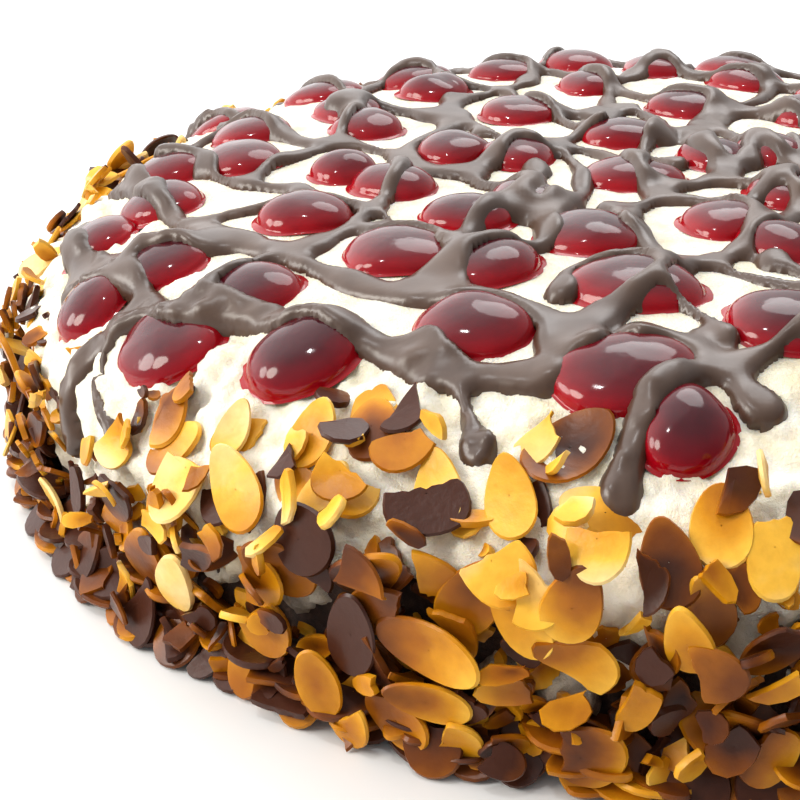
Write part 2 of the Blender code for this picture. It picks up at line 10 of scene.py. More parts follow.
import bpy
import numpy as np
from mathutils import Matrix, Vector


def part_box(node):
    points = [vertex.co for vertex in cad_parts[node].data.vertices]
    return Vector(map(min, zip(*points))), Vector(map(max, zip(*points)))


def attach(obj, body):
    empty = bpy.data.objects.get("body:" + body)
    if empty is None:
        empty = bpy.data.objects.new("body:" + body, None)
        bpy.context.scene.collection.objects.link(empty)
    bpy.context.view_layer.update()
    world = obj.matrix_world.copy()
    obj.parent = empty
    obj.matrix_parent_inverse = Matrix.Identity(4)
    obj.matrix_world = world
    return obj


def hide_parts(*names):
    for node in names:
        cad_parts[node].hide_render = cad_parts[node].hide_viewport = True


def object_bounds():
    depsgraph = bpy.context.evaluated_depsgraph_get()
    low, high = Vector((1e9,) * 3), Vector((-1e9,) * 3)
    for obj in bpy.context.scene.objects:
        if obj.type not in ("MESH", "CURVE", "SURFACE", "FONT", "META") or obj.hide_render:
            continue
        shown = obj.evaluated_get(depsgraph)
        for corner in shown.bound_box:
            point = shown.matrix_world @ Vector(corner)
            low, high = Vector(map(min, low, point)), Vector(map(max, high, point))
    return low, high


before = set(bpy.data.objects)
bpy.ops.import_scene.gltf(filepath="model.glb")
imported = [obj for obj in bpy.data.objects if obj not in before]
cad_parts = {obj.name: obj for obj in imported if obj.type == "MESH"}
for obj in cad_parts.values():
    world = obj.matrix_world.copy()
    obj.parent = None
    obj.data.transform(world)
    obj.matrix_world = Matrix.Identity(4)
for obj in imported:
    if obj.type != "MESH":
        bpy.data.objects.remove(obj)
CAD_LOW, CAD_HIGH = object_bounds()

MM = 0.001
FULL_TURN = 2.0 * pi

# Sizes of the solids, as in the part's source
CAKE_RADIUS = 0.128
TOP_HEIGHT = 0.0500
SHOULDER_HEIGHT = 0.030
SHOULDER_START = 0.55
SHOULDER_POWER = 2.6
SPONGE_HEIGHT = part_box("sponge")[1][2]
SPONGE_INSET = 0.0015
REACH_LIMIT = CAD_HIGH.x - 0.0002
HEIGHT_LIMIT = CAD_HIGH.z - 0.0001

# Each cherry: place, half axes and turn, in millimetres and degrees
PLACED_CHERRIES = (
    (-23, -94, 10.5, 8.5, 10), (-14, -108, 7, 6.5, 70), (-43, -82, 9, 8, 0), (-68, -82, 9, 8, 20),
    (-94, -71, 9.5, 7.5, -35), (-76, -62, 9, 8, 15), (-110, -49, 7.5, 6.5, -60), (-93, -44, 8.5, 8, -40),
    (-17, -70, 11, 9.5, 10), (-37, -61, 9, 9, 0), (-57, -53, 9.5, 9, 60), (-21, -46, 9, 9.5, 0),
    (-71, -35, 8.5, 8, 20), (4, -84, 9.5, 8.5, 0), (-29, -27, 7.5, 8, 0), (2, -37, 8, 8, 0),
    (-53, -19, 8.5, 8, 60), (-9, -12, 10, 8.5, 10), (-96, -15, 9, 7.5, -50), (-67, -7, 7, 7, 0),
    (-45, 7, 8, 8.5, 0), (-28, 1, 7.5, 8, 0), (8, 1, 7.5, 8, 0), (24, 5, 7.5, 8.5, 0),
    (-84, 2, 8.5, 9, 0), (19, -23, 8, 8.5, 0), (-60, 21, 8, 8.5, 0), (-6, 17, 9.5, 8.5, 0),
    (12, -53, 7.5, 7.5, 0), (-115, -24, 8, 7, -80), (-86, 24, 8.5, 8.5, 0), (-67, 42, 8, 8, 0),
    (-27, 37, 9, 8.5, 10), (12, 42, 9.5, 8.5, 0), (-8, 63, 8, 8, 0), (-45, 55, 8.5, 8, 0),
    (35, 36, 8, 8.5, 0), (-28, 79, 9, 8.5, 0), (11, 82, 8.5, 8.5, 0),
)
CHERRY_PITCH = 0.0246
CHERRY_JITTER = 0.0022
CHERRY_GRID_TURN = 24.0
CHERRY_GRID_SHIFT = (0.004, 0.007)
CHERRY_FIELD_RADIUS = 0.113
CHERRY_HALF_WIDTHS = (0.0090, 0.0106)
CHERRY_HEIGHT = 0.0047
CHERRY_CLEARANCE = 0.0012
CHERRY_NODES = 56
PAIR_CLOSENESS = 0.86
CHERRY_SEED = 7

# Each strand: how wide it is against the others, then its corners in millimetres
PLACED_STRANDS = (
    (1.30, ((-109, 3), (-103, -10), (-98, -22), (-93, -32), (-87, -38), (-80, -45), (-73, -53),
        (-65, -62), (-58, -68), (-50, -72), (-43, -73), (-37, -76), (-32, -82), (-28, -88))),
    (1.35, ((-118, -10), (-114, -27), (-110, -38), (-102, -45), (-97, -54), (-92, -63), (-83, -68),
        (-73, -74), (-63, -79), (-55, -86), (-47, -92), (-40, -94), (-34, -95))),
    (1.00, ((-47, -91), (-45, -97), (-44, -102), (-43, -106))),
    (1.05, ((-98, -58), (-104, -61), (-109, -65), (-113, -69), (-115, -72))),
    (0.62, ((-98, -61), (-103, -67), (-103, -73), (-101, -79), (-102, -84))),
    (1.15, ((-111, -33), (-102, -38), (-95, -42), (-86, -44))),
    (0.90, ((-101, 7), (-93, 1), (-90, -8), (-82, -16), (-73, -20), (-67, -27), (-60, -33))),
    (1.05, ((-66, 12), (-57, 5), (-54, -6), (-54, -17), (-57, -27), (-60, -35), (-63, -43), (-69, -50))),
    (0.80, ((-58, -30), (-56, -37), (-56, -43))),
    (1.00, ((-58, -44), (-51, -47), (-46, -52), (-45, -59), (-50, -66), (-52, -71))),
    (1.05, ((-27, -8), (-28, -19), (-31, -29), (-38, -38), (-43, -47), (-46, -54))),
    (0.85, ((-40, -9), (-39, -15), (-34, -22), (-29, -24))),
    (1.25, ((-42, 48), (-42, 36), (-44, 24), (-49, 14), (-53, 5), (-51, -3), (-46, -8), (-40, -9))),
    (1.00, ((-42, 34), (-36, 23), (-30, 12), (-32, 3), (-38, -5), (-43, -9))),
    (0.90, ((-27, 17), (-22, 10), (-20, 3), (-19, -4), (-19, -14), (-20, -24), (-25, -33))),
    (1.00, ((-21, 10), (-12, 3), (-9, -6), (-8, -17), (-8, -29), (-15, -33))),
    (1.00, ((-24, -30), (-28, -40), (-29, -50), (-35, -55), (-41, -59), (-45, -65), (-45, -73))),
    (0.90, ((-16, -31), (-14, -41), (-12, -50), (-12, -58), (-19, -63), (-27, -66), (-29, -73))),
    (1.00, ((20, -30), (13, -40), (7, -47), (2, -55), (-5, -60), (-13, -61))),
    (0.80, ((-3, -60), (3, -67), (11, -72))),
    (1.10, ((-12, -61), (-13, -70), (-18, -77), (-26, -83), (-31, -88))),
    (1.05, ((18, -76), (8, -86), (-1, -92), (-8, -96), (-14, -98), (-20, -103), (-24, -112), (-25, -115))),
    (1.05, ((-18, -87), (-12, -91), (-8, -97), (-4, -103))),
    (0.90, ((16, -3), (8, -13), (-1, -20), (-8, -28), (-13, -37))),
    (1.00, ((-5, -26), (3, -29), (8, -35), (10, -43))),
    (1.10, ((21, 38), (14, 24), (9, 13), (7, 3), (10, -8))),
    (0.90, ((14, 24), (18, 14), (17, 4), (16, -4))),
    (1.10, ((-2, 40), (-8, 30), (-13, 21), (-20, 12), (-27, 5))),
    (1.00, ((-2, 40), (3, 30), (3, 20), (-2, 11), (-4, 2), (1, -4))),
    (0.90, ((-22, 47), (-20, 36), (-16, 26), (-12, 21))),
    (1.00, ((-62, 46), (-63, 34), (-66, 22), (-68, 12), (-74, 4), (-80, -4), (-83, -14))),
    (1.00, ((-94, 42), (-87, 30), (-80, 20), (-73, 12), (-66, 12))),
    (0.95, ((-112, 6), (-104, 18), (-96, 27), (-87, 30))),
    (0.75, ((-76, -54), (-82, -60), (-88, -66))),
    (0.70, ((-73, -20), (-77, -28), (-86, -31), (-93, -32))),
    (0.65, ((-14, -74), (-9, -81), (-6, -88))),
)
PLACED_EDGE = (0.012, 0.040)
PLACED_OVERLAP = 0.005
PIECE_SHORTEST = 0.012
STRAND_TURNS = (62.0, 135.0)
STRAND_PITCH = 0.0255
STRAND_SHIFTS = (0.002, 0.009)
STRAND_SAMPLE = 0.0015
STRAND_WAVE = 0.0032
STRAND_WAVE_LENGTH = 0.061
STRAND_PULL = 0.55
STRAND_PULL_REACH = 0.013
STRAND_PULL_BACK = 0.003
STRAND_REACH = (0.86, 0.97)
DRIP_REACH = (1.015, 1.035)
DRIP_EVERY = 4
STRAND_SEED = 19

# Camera of the photograph
CAMERA_PLACE = (-0.054, -0.276, 0.131)
CAMERA_PITCH = 64.0
CAMERA_LENS = 63.0
SENSOR = 36.0


# Smooth noise

NOISE_STEPS = np.array((374761393, 668265263, 2147483629))


def value_noise(points, size, seed):
    """Noise from -1 to 1 at points, with features of a size."""
    scaled = np.asarray(points, float) / size
    cell = np.floor(scaled).astype(np.int64)
    part = scaled - cell
    part = part * part * (3.0 - 2.0 * part)
    total = np.zeros(len(scaled))
    for corner in np.ndindex(2, 2, 2):
        mixed = (cell + corner) @ NOISE_STEPS + seed * 1274126177
        mixed = (mixed ^ (mixed >> 13)) * 1103515245
        mixed ^= mixed >> 16
        value = (mixed & 0xFFFF) / 32767.5 - 1.0
        total += value * np.where(corner, part, 1.0 - part).prod(axis=1)
    return total


def angles_round(count):
    return np.linspace(0.0, FULL_TURN, count, endpoint=False)


def smoothstep(low, high, values):
    share = np.clip((values - low) / (high - low), 0.0, 1.0)
    return share * share * (3.0 - 2.0 * share)


# Skin of the cake

PROFILE_STEP = 0.0005
PROFILE_ROUNDING = 23


def make_profile():
    """Radius and height of the skin by reach, with the corner at the shoulder rounded."""
    reach = np.arange(0.0, CAKE_RADIUS + SHOULDER_HEIGHT, PROFILE_STEP)
    fall = (reach / CAKE_RADIUS - SHOULDER_START) / (1.0 - SHOULDER_START)
    fall = np.clip(fall, 0.0, 1.0)
    radius = np.minimum(reach, CAKE_RADIUS)
    height = TOP_HEIGHT - (TOP_HEIGHT - SHOULDER_HEIGHT) * fall ** SHOULDER_POWER
    height -= np.maximum(reach - CAKE_RADIUS, 0.0)
    window = np.hanning(PROFILE_ROUNDING)
    window /= window.sum()
    pad = PROFILE_ROUNDING // 2
    for line in (radius, height):
        line[pad:-pad] = np.convolve(line, window, "valid")
    return reach, radius, height


REACH, PROFILE_RADIUS, PROFILE_HEIGHT = make_profile()
PROFILE_OUT = -np.gradient(PROFILE_HEIGHT, REACH)
PROFILE_UP = np.gradient(PROFILE_RADIUS, REACH)


def skin(x, y):
    """Points and normals of the skin for plan places."""
    reach = np.maximum(np.hypot(x, y), 1e-9)
    profile = (PROFILE_RADIUS, PROFILE_HEIGHT, PROFILE_OUT, PROFILE_UP)
    radius, height, out, up = (np.interp(reach, REACH, line) for line in profile)
    size = np.hypot(out, up)
    points = np.stack((x / reach * radius, y / reach * radius, height), axis=-1)
    normals = np.stack((x / reach * out / size, y / reach * out / size, up / size), axis=-1)
    return points, normals


# Meshes

def add_object(name, data):
    item = bpy.data.objects.new(name, data)
    bpy.context.scene.collection.objects.link(item)
    return item


def mesh_piece(name, points, faces, material, values=None, crease=None):
    """Smooth-shaded object from arrays, with named point values and edges sharp above an angle."""
    mesh = bpy.data.meshes.new(name)
    mesh.from_pydata(kept_inside(points).tolist(), [], faces if isinstance(faces, list) else faces.tolist())
    mesh.polygons.foreach_set("use_smooth", [True] * len(mesh.polygons))
    for key, numbers in (values or {}).items():
        layer = mesh.attributes.new(key, "FLOAT", "POINT")
        layer.data.foreach_set("value", np.asarray(numbers, np.float32))
    mesh.materials.append(material)
    mesh.update()
    if crease is not None:
        mesh.set_sharp_from_angle(angle=radians(crease))
    item = add_object(name, mesh)
    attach(item, "root")
    return item


def ring_faces(rings, segments, start=0):
    """Quads between rings of points that follow one another."""
    ring = np.arange(rings - 1)[:, None] * segments + start
    here = np.arange(segments)[None, :]
    after = (here + 1) % segments
    quads = np.stack((ring + here, ring + segments + here, ring + segments + after, ring + after), axis=-1)
    return quads.reshape(-1, 4)


def kept_inside(points):
    """Pull points back inside the solids' outer size."""
    reach = np.hypot(points[:, 0], points[:, 1])
    points[:, :2] *= np.minimum(1.0, REACH_LIMIT / np.maximum(reach, 1e-9))[:, None]
    points[:, 2] = np.clip(points[:, 2], 0.0, HEIGHT_LIMIT)
    return points


# Materials

def set_sockets(node, values):
    for name, value in values.items():
        node.inputs[name].default_value = value


class Nodes:
    """Adds nodes to the tree of a material or of the world, and links them."""

    def __init__(self, tree):
        self.nodes = tree.nodes
        self.links = tree.links

    def noise(self, scale, detail=4.0, roughness=0.55):
        place = self.nodes.new("ShaderNodeTexCoord")
        noise = self.nodes.new("ShaderNodeTexNoise")
        set_sockets(noise, {"Scale": scale, "Detail": detail, "Roughness": roughness})
        self.links.new(place.outputs["Object"], noise.inputs["Vector"])
        return noise.outputs["Fac"]

    def ramp(self, source, stops):
        ramp = self.nodes.new("ShaderNodeValToRGB")
        elements = ramp.color_ramp.elements
        while len(elements) < len(stops):
            elements.new(0.5)
        for element, (place, colour) in zip(elements, stops):
            element.position = place
            element.color = (*colour, 1.0)
        self.links.new(source, ramp.inputs["Fac"])
        return ramp.outputs["Color"]

    def mix(self, share, one, other, blend="MIX"):
        mix = self.nodes.new("ShaderNodeMix")
        mix.data_type = "RGBA"
        mix.blend_type = blend
        self.fill([socket for socket in mix.inputs if socket.enabled], (share, one, other))
        return [socket for socket in mix.outputs if socket.enabled][0]

    def math(self, kind, one, other):
        node = self.nodes.new("ShaderNodeMath")
        node.operation = kind
        node.use_clamp = True
        self.fill(node.inputs, (one, other))
        return node.outputs["Value"]

    def fill(self, sockets, values):
        """Link each socket to the socket that is given for it, or set it to the number."""
        for socket, value in zip(sockets, values):
            if isinstance(value, bpy.types.NodeSocket):
                self.links.new(value, socket)
            else:
                socket.default_value = value

    def point_value(self, name):
        node = self.nodes.new("ShaderNodeAttribute")
        node.attribute_name = name
        return node.outputs["Fac"]


class Finish(Nodes):
    """A material with one shader and the values that are the same all over it."""

    def __init__(self, name, values):
        self.material = bpy.data.materials.new(name)
        self.material.use_nodes = True
        super().__init__(self.material.node_tree)
        self.shader = self.nodes["Principled BSDF"]
        set_sockets(self.shader, values)

    def feed(self, name, source):
        self.links.new(source, self.shader.inputs[name])

    def bump(self, source, strength, distance):
        bump = self.nodes.new("ShaderNodeBump")
        set_sockets(bump, {"Strength": strength, "Distance": distance})
        self.links.new(source, bump.inputs["Height"])
        self.feed("Normal", bump.outputs["Normal"])


def cream_material():
    """Whipped cream, greyed with sponge crumb where the point value soil says so."""
    finish = Finish("cream", {
        "Roughness": 0.52, "Subsurface Weight": 0.35,
        "Subsurface Radius": (1.0, 0.8, 0.5), "Subsurface Scale": 0.002,
    })
    base = finish.ramp(finish.noise(160.0), ((0.30, (0.80, 0.71, 0.50)), (0.62, (0.90, 0.86, 0.74))))
    specks = finish.ramp(finish.noise(300.0, 6.0, 0.7), (
        (0.36, (0.045, 0.022, 0.014)), (0.48, (0.20, 0.13, 0.09)), (0.62, (0.48, 0.38, 0.29)),
    ))
    finish.feed("Base Color", finish.mix(finish.point_value("soil"), base, specks))
    finish.bump(finish.noise(340.0, 6.0, 0.75), 0.9, 0.0012)
    return finish.material


def sponge_material():
    finish = Finish("chocolate_sponge", {"Roughness": 0.75})
    finish.feed("Base Color", finish.ramp(finish.noise(500.0, 6.0, 0.7), (
        (0.30, (0.012, 0.006, 0.004)), (0.55, (0.045, 0.020, 0.012)), (0.75, (0.11, 0.055, 0.035)),
    )))
    finish.bump(finish.noise(1200.0, 6.0, 0.75), 0.9, 0.0006)
    return finish.material


CLOUD_RANGE = 0.30


def clouded(finish, name, scale, detail, roughness):
    """A point value moved up and down by noise."""
    cloud = finish.math("MULTIPLY", finish.noise(scale, detail, roughness), CLOUD_RANGE)
    return finish.math("SUBTRACT", finish.math("ADD", finish.point_value(name), cloud), 0.5 * CLOUD_RANGE)


def cherry_material():
    """Red jelly, bright where it is thin at the foot and dark over the fruit."""
    finish = Finish("cherry_jelly", {
        "Roughness": 0.10, "IOR": 1.40, "Subsurface Weight": 0.20,
        "Subsurface Radius": (1.0, 0.08, 0.08), "Subsurface Scale": 0.003,
    })
    finish.feed("Base Color", finish.ramp(clouded(finish, "depth", 260.0, 3.0, 0.55), (
        (0.00, (0.30, 0.001, 0.006)), (0.35, (0.14, 0.001, 0.006)),
        (0.75, (0.055, 0.001, 0.005)), (1.00, (0.026, 0.001, 0.004)),
    )))
    finish.bump(finish.noise(220.0, 2.0), 0.12, 0.001)
    return finish.material


def chocolate_material():
    finish = Finish("poured_chocolate", {"IOR": 1.52})
    finish.feed("Base Color", finish.ramp(finish.noise(90.0), (
        (0.35, (0.050, 0.026, 0.016)), (0.65, (0.080, 0.045, 0.029)),
    )))
    finish.feed("Roughness", finish.ramp(finish.noise(60.0, 2.0), (
        (0.3, (0.28, 0.28, 0.28)), (0.7, (0.38, 0.38, 0.38)),
    )))
    finish.bump(finish.noise(180.0, 3.0), 0.10, 0.0008)
    return finish.material


def almond_material():
    """Toasted almond: the point value tone runs from pale through golden and brown to near black."""
    finish = Finish("toasted_almond", {
        "Roughness": 0.31, "Specular IOR Level": 0.22, "Subsurface Weight": 0.12,
        "Subsurface Radius": (1.0, 0.5, 0.15), "Subsurface Scale": 0.001,
    })
    base = finish.ramp(clouded(finish, "tone", 150.0, 2.0, 0.5), (
        (0.00, (0.80, 0.58, 0.24)), (0.18, (0.80, 0.44, 0.045)), (0.38, (0.58, 0.240, 0.005)),
        (0.55, (0.34, 0.105, 0.003)), (0.70, (0.15, 0.038, 0.003)), (0.84, (0.055, 0.016, 0.008)),
        (1.00, (0.024, 0.010, 0.008)),
    ))
    fibre = finish.ramp(finish.noise(500.0, 4.0, 0.6), ((0.30, (0.84, 0.80, 0.74)), (0.60, (1.0, 1.0, 1.0))))
    finish.feed("Base Color", finish.mix(0.7, base, fibre, "MULTIPLY"))
    finish.bump(finish.noise(700.0, 3.0), 0.25, 0.0003)
    return finish.material


def floor_material():
    finish = Finish("pale_floor", {"Roughness": 0.6})
    finish.feed("Base Color", finish.ramp(finish.noise(12.0), (
        (0.4, (0.72, 0.72, 0.715)), (0.6, (0.75, 0.75, 0.745)),
    )))
    return finish.material


# Cherries

def turned(u, v, turn):
    return u * cos(turn) - v * sin(turn), u * sin(turn) + v * cos(turn)


def cherry_layout():
    """All cherries as dicts of place, half axes and turn, by the rule of the part's source."""
    draw = random.Random(CHERRY_SEED)
    cherries = []
    for x, y, half_width, half_length, turn in PLACED_CHERRIES:
        cherries.append({
            "x": x * MM, "y": y * MM, "a": half_width * MM, "b": half_length * MM,
            "turn": radians(turn),
        })
    turn = radians(CHERRY_GRID_TURN)
    row_pitch = CHERRY_PITCH * sqrt(3.0) / 2.0
    reach = int(CHERRY_FIELD_RADIUS / row_pitch) + 2
    for row in range(-reach, reach + 1):
        for column in range(-reach, reach + 1):
            u = (column + 0.5 * (row % 2)) * CHERRY_PITCH + draw.uniform(-1.0, 1.0) * CHERRY_JITTER
            v = row * row_pitch + draw.uniform(-1.0, 1.0) * CHERRY_JITTER
            x, y = np.add(turned(u, v, turn), CHERRY_GRID_SHIFT).tolist()
            a = draw.uniform(*CHERRY_HALF_WIDTHS)
            b = a * draw.uniform(0.86, 1.04)
            own_turn = draw.uniform(0.0, pi)
            if hypot(x, y) > CHERRY_FIELD_RADIUS:
                continue
            room = min(hypot(x - c["x"], y - c["y"]) - max(c["a"], c["b"]) for c in cherries)
            room -= CHERRY_CLEARANCE
            if room < 0.85 * CHERRY_HALF_WIDTHS[0]:
                continue
            shrink = min(1.0, room / max(a, b))
            cherries.append({"x": x, "y": y, "a": a * shrink, "b": b * shrink, "turn": own_turn})
    return cherries


def pair_up(cherries):
    """Slide the nearest cherries together in pairs until they fit the nodes, as in the solids."""
    pairs = [
        (hypot(one["x"] - other["x"], one["y"] - other["y"]), i, j)
        for i, one in enumerate(cherries) for j, other in enumerate(cherries) if 1 < i < j
    ]
    left = set(range(len(cherries)))
    spare = len(cherries) - CHERRY_NODES
    for _, i, j in [(0.0, 0, 1), *sorted(pairs)]:
        if spare > 0 and {i, j} <= left:
            left -= {i, j}
            spare -= 1
            slide_together(cherries[i], cherries[j])


def slide_together(one, other):
    dx, dy = other["x"] - one["x"], other["y"] - one["y"]
    wanted = PAIR_CLOSENESS * (min(one["a"], one["b"]) + min(other["a"], other["b"]))
    share = 0.5 * (1.0 - min(wanted / hypot(dx, dy), 1.0))
    for cherry, sign in ((one, 1.0), (other, -1.0)):
        cherry["x"] += sign * share * dx
        cherry["y"] += sign * share * dy


def set_rises(cherries):
    """How high each cherry stands above the cream."""
    draw = random.Random(CHERRY_SEED + 2)
    for cherry in cherries:
        cherry["rise"] = CHERRY_HEIGHT * draw.uniform(0.86, 1.0)


DOME_POWER = 0.48


def in_cherry(cherry, x, y, room=0.0):
    """A plan place along a cherry's own axes, as shares of its half axes with some room."""
    u, v = turned(x - cherry["x"], y - cherry["y"], -cherry["turn"])
    return u / (cherry["a"] + room), v / (cherry["b"] + room)


def dome_rise(cherries, x, y):
    """Height of the cherries above the cream at plan places."""
    rise = np.zeros(np.shape(x))
    for cherry in cherries:
        u, v = in_cherry(cherry, x, y)
        inside = np.clip(1.0 - (u * u + v * v), 0.0, 1.0)
        rise = np.maximum(rise, cherry["rise"] * inside ** DOME_POWER)
    return rise


CHERRY_SEGMENTS = 44
# Rings of a cherry as shares of its outline. Those past 1 are the skirt, which ends in the cream.
CHERRY_RINGS = np.array([
    0.0, 0.10, 0.22, 0.34, 0.46, 0.57, 0.67, 0.76, 0.84, 0.90, 0.945, 0.975, 0.992, 1.01, 1.04, 1.09,
])
SKIRT_RINGS = (1.0, 1.04, 1.09)
SKIRT_RISES = (0.0003, 0.00015, -0.0018)
# Waves round a cherry's outline: how many, and their size
CHERRY_WAVES = ((2, 0.035), (3, 0.030), (5, 0.015))
CHERRY_LUMP_WIDTH = 0.0065
CHERRY_LUMPS = 0.00045
SKIRT_LUMPS = 0.0001


def cherries_piece(cherries, material):
    """Every jellied cherry, with a thin skirt of jelly on the cream."""
    draw = random.Random(CHERRY_SEED + 1)
    points, faces, depths = [], [], []
    angle = angles_round(CHERRY_SEGMENTS)
    ring = CHERRY_RINGS[:, None]
    share = np.repeat(CHERRY_RINGS, CHERRY_SEGMENTS)
    for number, cherry in enumerate(cherries):
        wobble = np.ones(CHERRY_SEGMENTS)
        for waves, size in CHERRY_WAVES:
            wobble += size * np.sin(waves * angle + draw.uniform(0.0, FULL_TURN))
        skirt = 1.0 + 0.5 * np.sin(2.0 * angle + draw.uniform(0.0, FULL_TURN))
        spread = np.where(ring > 1.0, wobble * (1.0 + (ring - 1.0) * skirt), ring * wobble)
        u, v = spread * cherry["a"] * np.cos(angle), spread * cherry["b"] * np.sin(angle)
        x, y = turned(u, v, cherry["turn"])
        base, normal = skin(x.ravel() + cherry["x"], y.ravel() + cherry["y"])
        rise = cherry["rise"] * np.clip(1.0 - share ** 2, 0.0, 1.0) ** DOME_POWER
        rise = np.maximum(rise, np.interp(share, SKIRT_RINGS, SKIRT_RISES))
        lumps = value_noise(base + 0.1 * number, CHERRY_LUMP_WIDTH, 40)
        rise += np.where(rise > 0.001, CHERRY_LUMPS * lumps, SKIRT_LUMPS * lumps)
        points.append(base + normal * rise[:, None])
        faces.append(ring_faces(len(CHERRY_RINGS), CHERRY_SEGMENTS, number * len(share)))
        depths.append(np.clip(1.0 - share ** 2.4, 0.0, 1.0) * draw.uniform(0.75, 1.0))
    return mesh_piece("cherries", np.concatenate(points), np.concatenate(faces)[:, ::-1], material, {
        "depth": np.concatenate(depths),
    })


# Cream and sponge

TORN_FROM = 0.74 * CAKE_RADIUS
TORN_FULL = 0.87 * CAKE_RADIUS
# Lumps of the cream: width, height where it is smooth, and what is added where it is torn
CREAM_LUMPS = (
    (0.0130, 0.00030, 0.00060), (0.0052, 0.00020, 0.00090),
    (0.0024, 0.00015, 0.00090), (0.0013, 0.00006, 0.00050),
)
SMEAR_STRETCH = np.array((1.0, 1.0, 1.6))
BARE_INSET = 0.0042
SOIL_WIDTH = 0.009
SOIL_CLEAN_HEIGHT = 0.027
SOIL_FULL_HEIGHT = 0.009
CREAM_SEGMENTS = 840
# Rings of the cream: first and last reach of a band, and how many, closer where it is torn
CREAM_BANDS = (
    (0.0015, 0.70 * CAKE_RADIUS, 34),
    (0.71 * CAKE_RADIUS, CAKE_RADIUS, 52),
    (CAKE_RADIUS + 0.0012, CAKE_RADIUS + SHOULDER_HEIGHT - 0.0016, 24),
)
SPONGE_SEGMENTS = 700
SPONGE_RINGS = 26


def cream_lumps(base, reach):
    """Unevenness of the cream along its normal: torn and granular from the rim down."""
    torn = smoothstep(TORN_FROM, TORN_FULL, reach)
    return sum(
        (smooth + added * torn) * value_noise(base, width, seed)
        for seed, (width, smooth, added) in enumerate(CREAM_LUMPS, 1)
    )


def cream_cover(base):
    """1 where cream covers the sponge on the side and 0 where it is bare."""
    smear = value_noise(base * SMEAR_STRETCH, 0.017, 11)
    smear += 0.5 * value_noise(base, 0.006, 12) + 0.3 * value_noise(base, 0.0025, 13)
    need = 1.12 - 1.7 * base[:, 2] / SPONGE_HEIGHT
    return smoothstep(-0.18, 0.18, smear - need)


def capped_rings(rings, segments):
    """Faces between rings of points, and a cap on the first ring and on the last."""
    rim = np.arange(segments)
    faces = ring_faces(rings, segments).tolist()
    faces.append(rim.tolist())
    faces.append((rim + (rings - 1) * segments)[::-1].tolist())
    return faces


def cream_piece(material):
    reaches = np.concatenate([np.linspace(*band) for band in CREAM_BANDS])
    angle = angles_round(CREAM_SEGMENTS)
    x = (reaches[:, None] * np.cos(angle)).ravel()
    y = (reaches[:, None] * np.sin(angle)).ravel()
    base, normal = skin(x, y)
    bare = (1.0 - cream_cover(base)) * (base[:, 2] < SPONGE_HEIGHT + 0.004)
    lift = cream_lumps(base, np.hypot(x, y)) - BARE_INSET * bare
    points = base + normal * lift[:, None]
    soil = smoothstep(SOIL_CLEAN_HEIGHT, SOIL_FULL_HEIGHT, base[:, 2])
    soil *= smoothstep(-0.8, 0.6, value_noise(base, SOIL_WIDTH, 21))
    soil = np.clip(soil + 0.6 * bare, 0.0, 1.0)
    faces = capped_rings(len(reaches), CREAM_SEGMENTS)
    return mesh_piece("cream_coat", points, faces, material, {"soil": soil})


def sponge_piece(material):
    heights = np.linspace(SPONGE_HEIGHT, 0.0, SPONGE_RINGS)
    angle = np.tile(angles_round(SPONGE_SEGMENTS), SPONGE_RINGS)
    out = np.stack((np.cos(angle), np.sin(angle)), axis=-1)
    heights = np.repeat(heights, SPONGE_SEGMENTS)[:, None]
    points = np.concatenate(((CAKE_RADIUS - SPONGE_INSET) * out, heights), axis=-1)
    crumb = 0.0008 * value_noise(points, 0.004, 31) + 0.0005 * value_noise(points, 0.0018, 32) - 0.0004
    points[:, :2] += crumb[:, None] * out
    return mesh_piece("sponge_layer", points, capped_rings(SPONGE_RINGS, SPONGE_SEGMENTS), material)


# Poured chocolate

def pulled(point, cherries):
    """Move a route's point part of the way onto the far side of a cherry that is near."""
    goals = [Vector((cherry["x"], cherry["y"] + STRAND_PULL_BACK)) for cherry in cherries]
    goal = min(goals, key=lambda place: (place - point).length)
    pull = STRAND_PULL * max(0.0, 1.0 - (goal - point).length / STRAND_PULL_REACH)
    return point.lerp(goal, pull)


def smooth_route(corners):
    """Points at the sampling step along a curve through all corners."""
    ends = [corners[0] * 2.0 - corners[1], *corners, corners[-1] * 2.0 - corners[-2]]
    route = []
    for a, b, c, d in zip(ends, ends[1:], ends[2:], ends[3:]):
        count = max(1, round((c - b).length / STRAND_SAMPLE))
        for step in range(count):
            t = step / count
            route.append(0.5 * (
                2.0 * b + (c - a) * t + (2.0 * a - 5.0 * b + 4.0 * c - d) * t ** 2
                + (3.0 * b - a - 3.0 * c + d) * t ** 3
            ))
    return route + [corners[-1]]


def outside_placed(path):
    """Pieces of a route that lie outside the area of the placed strands, or just inside it."""
    limits = [edge - PLACED_OVERLAP for edge in PLACED_EDGE]
    pieces = [[]]
    for point in path:
        if point.x > limits[0] or point.y > limits[1]:
            pieces[-1].append(point)
        elif pieces[-1]:
            pieces.append([])
    return [piece for piece in pieces if len(piece) * STRAND_SAMPLE > PIECE_SHORTEST]


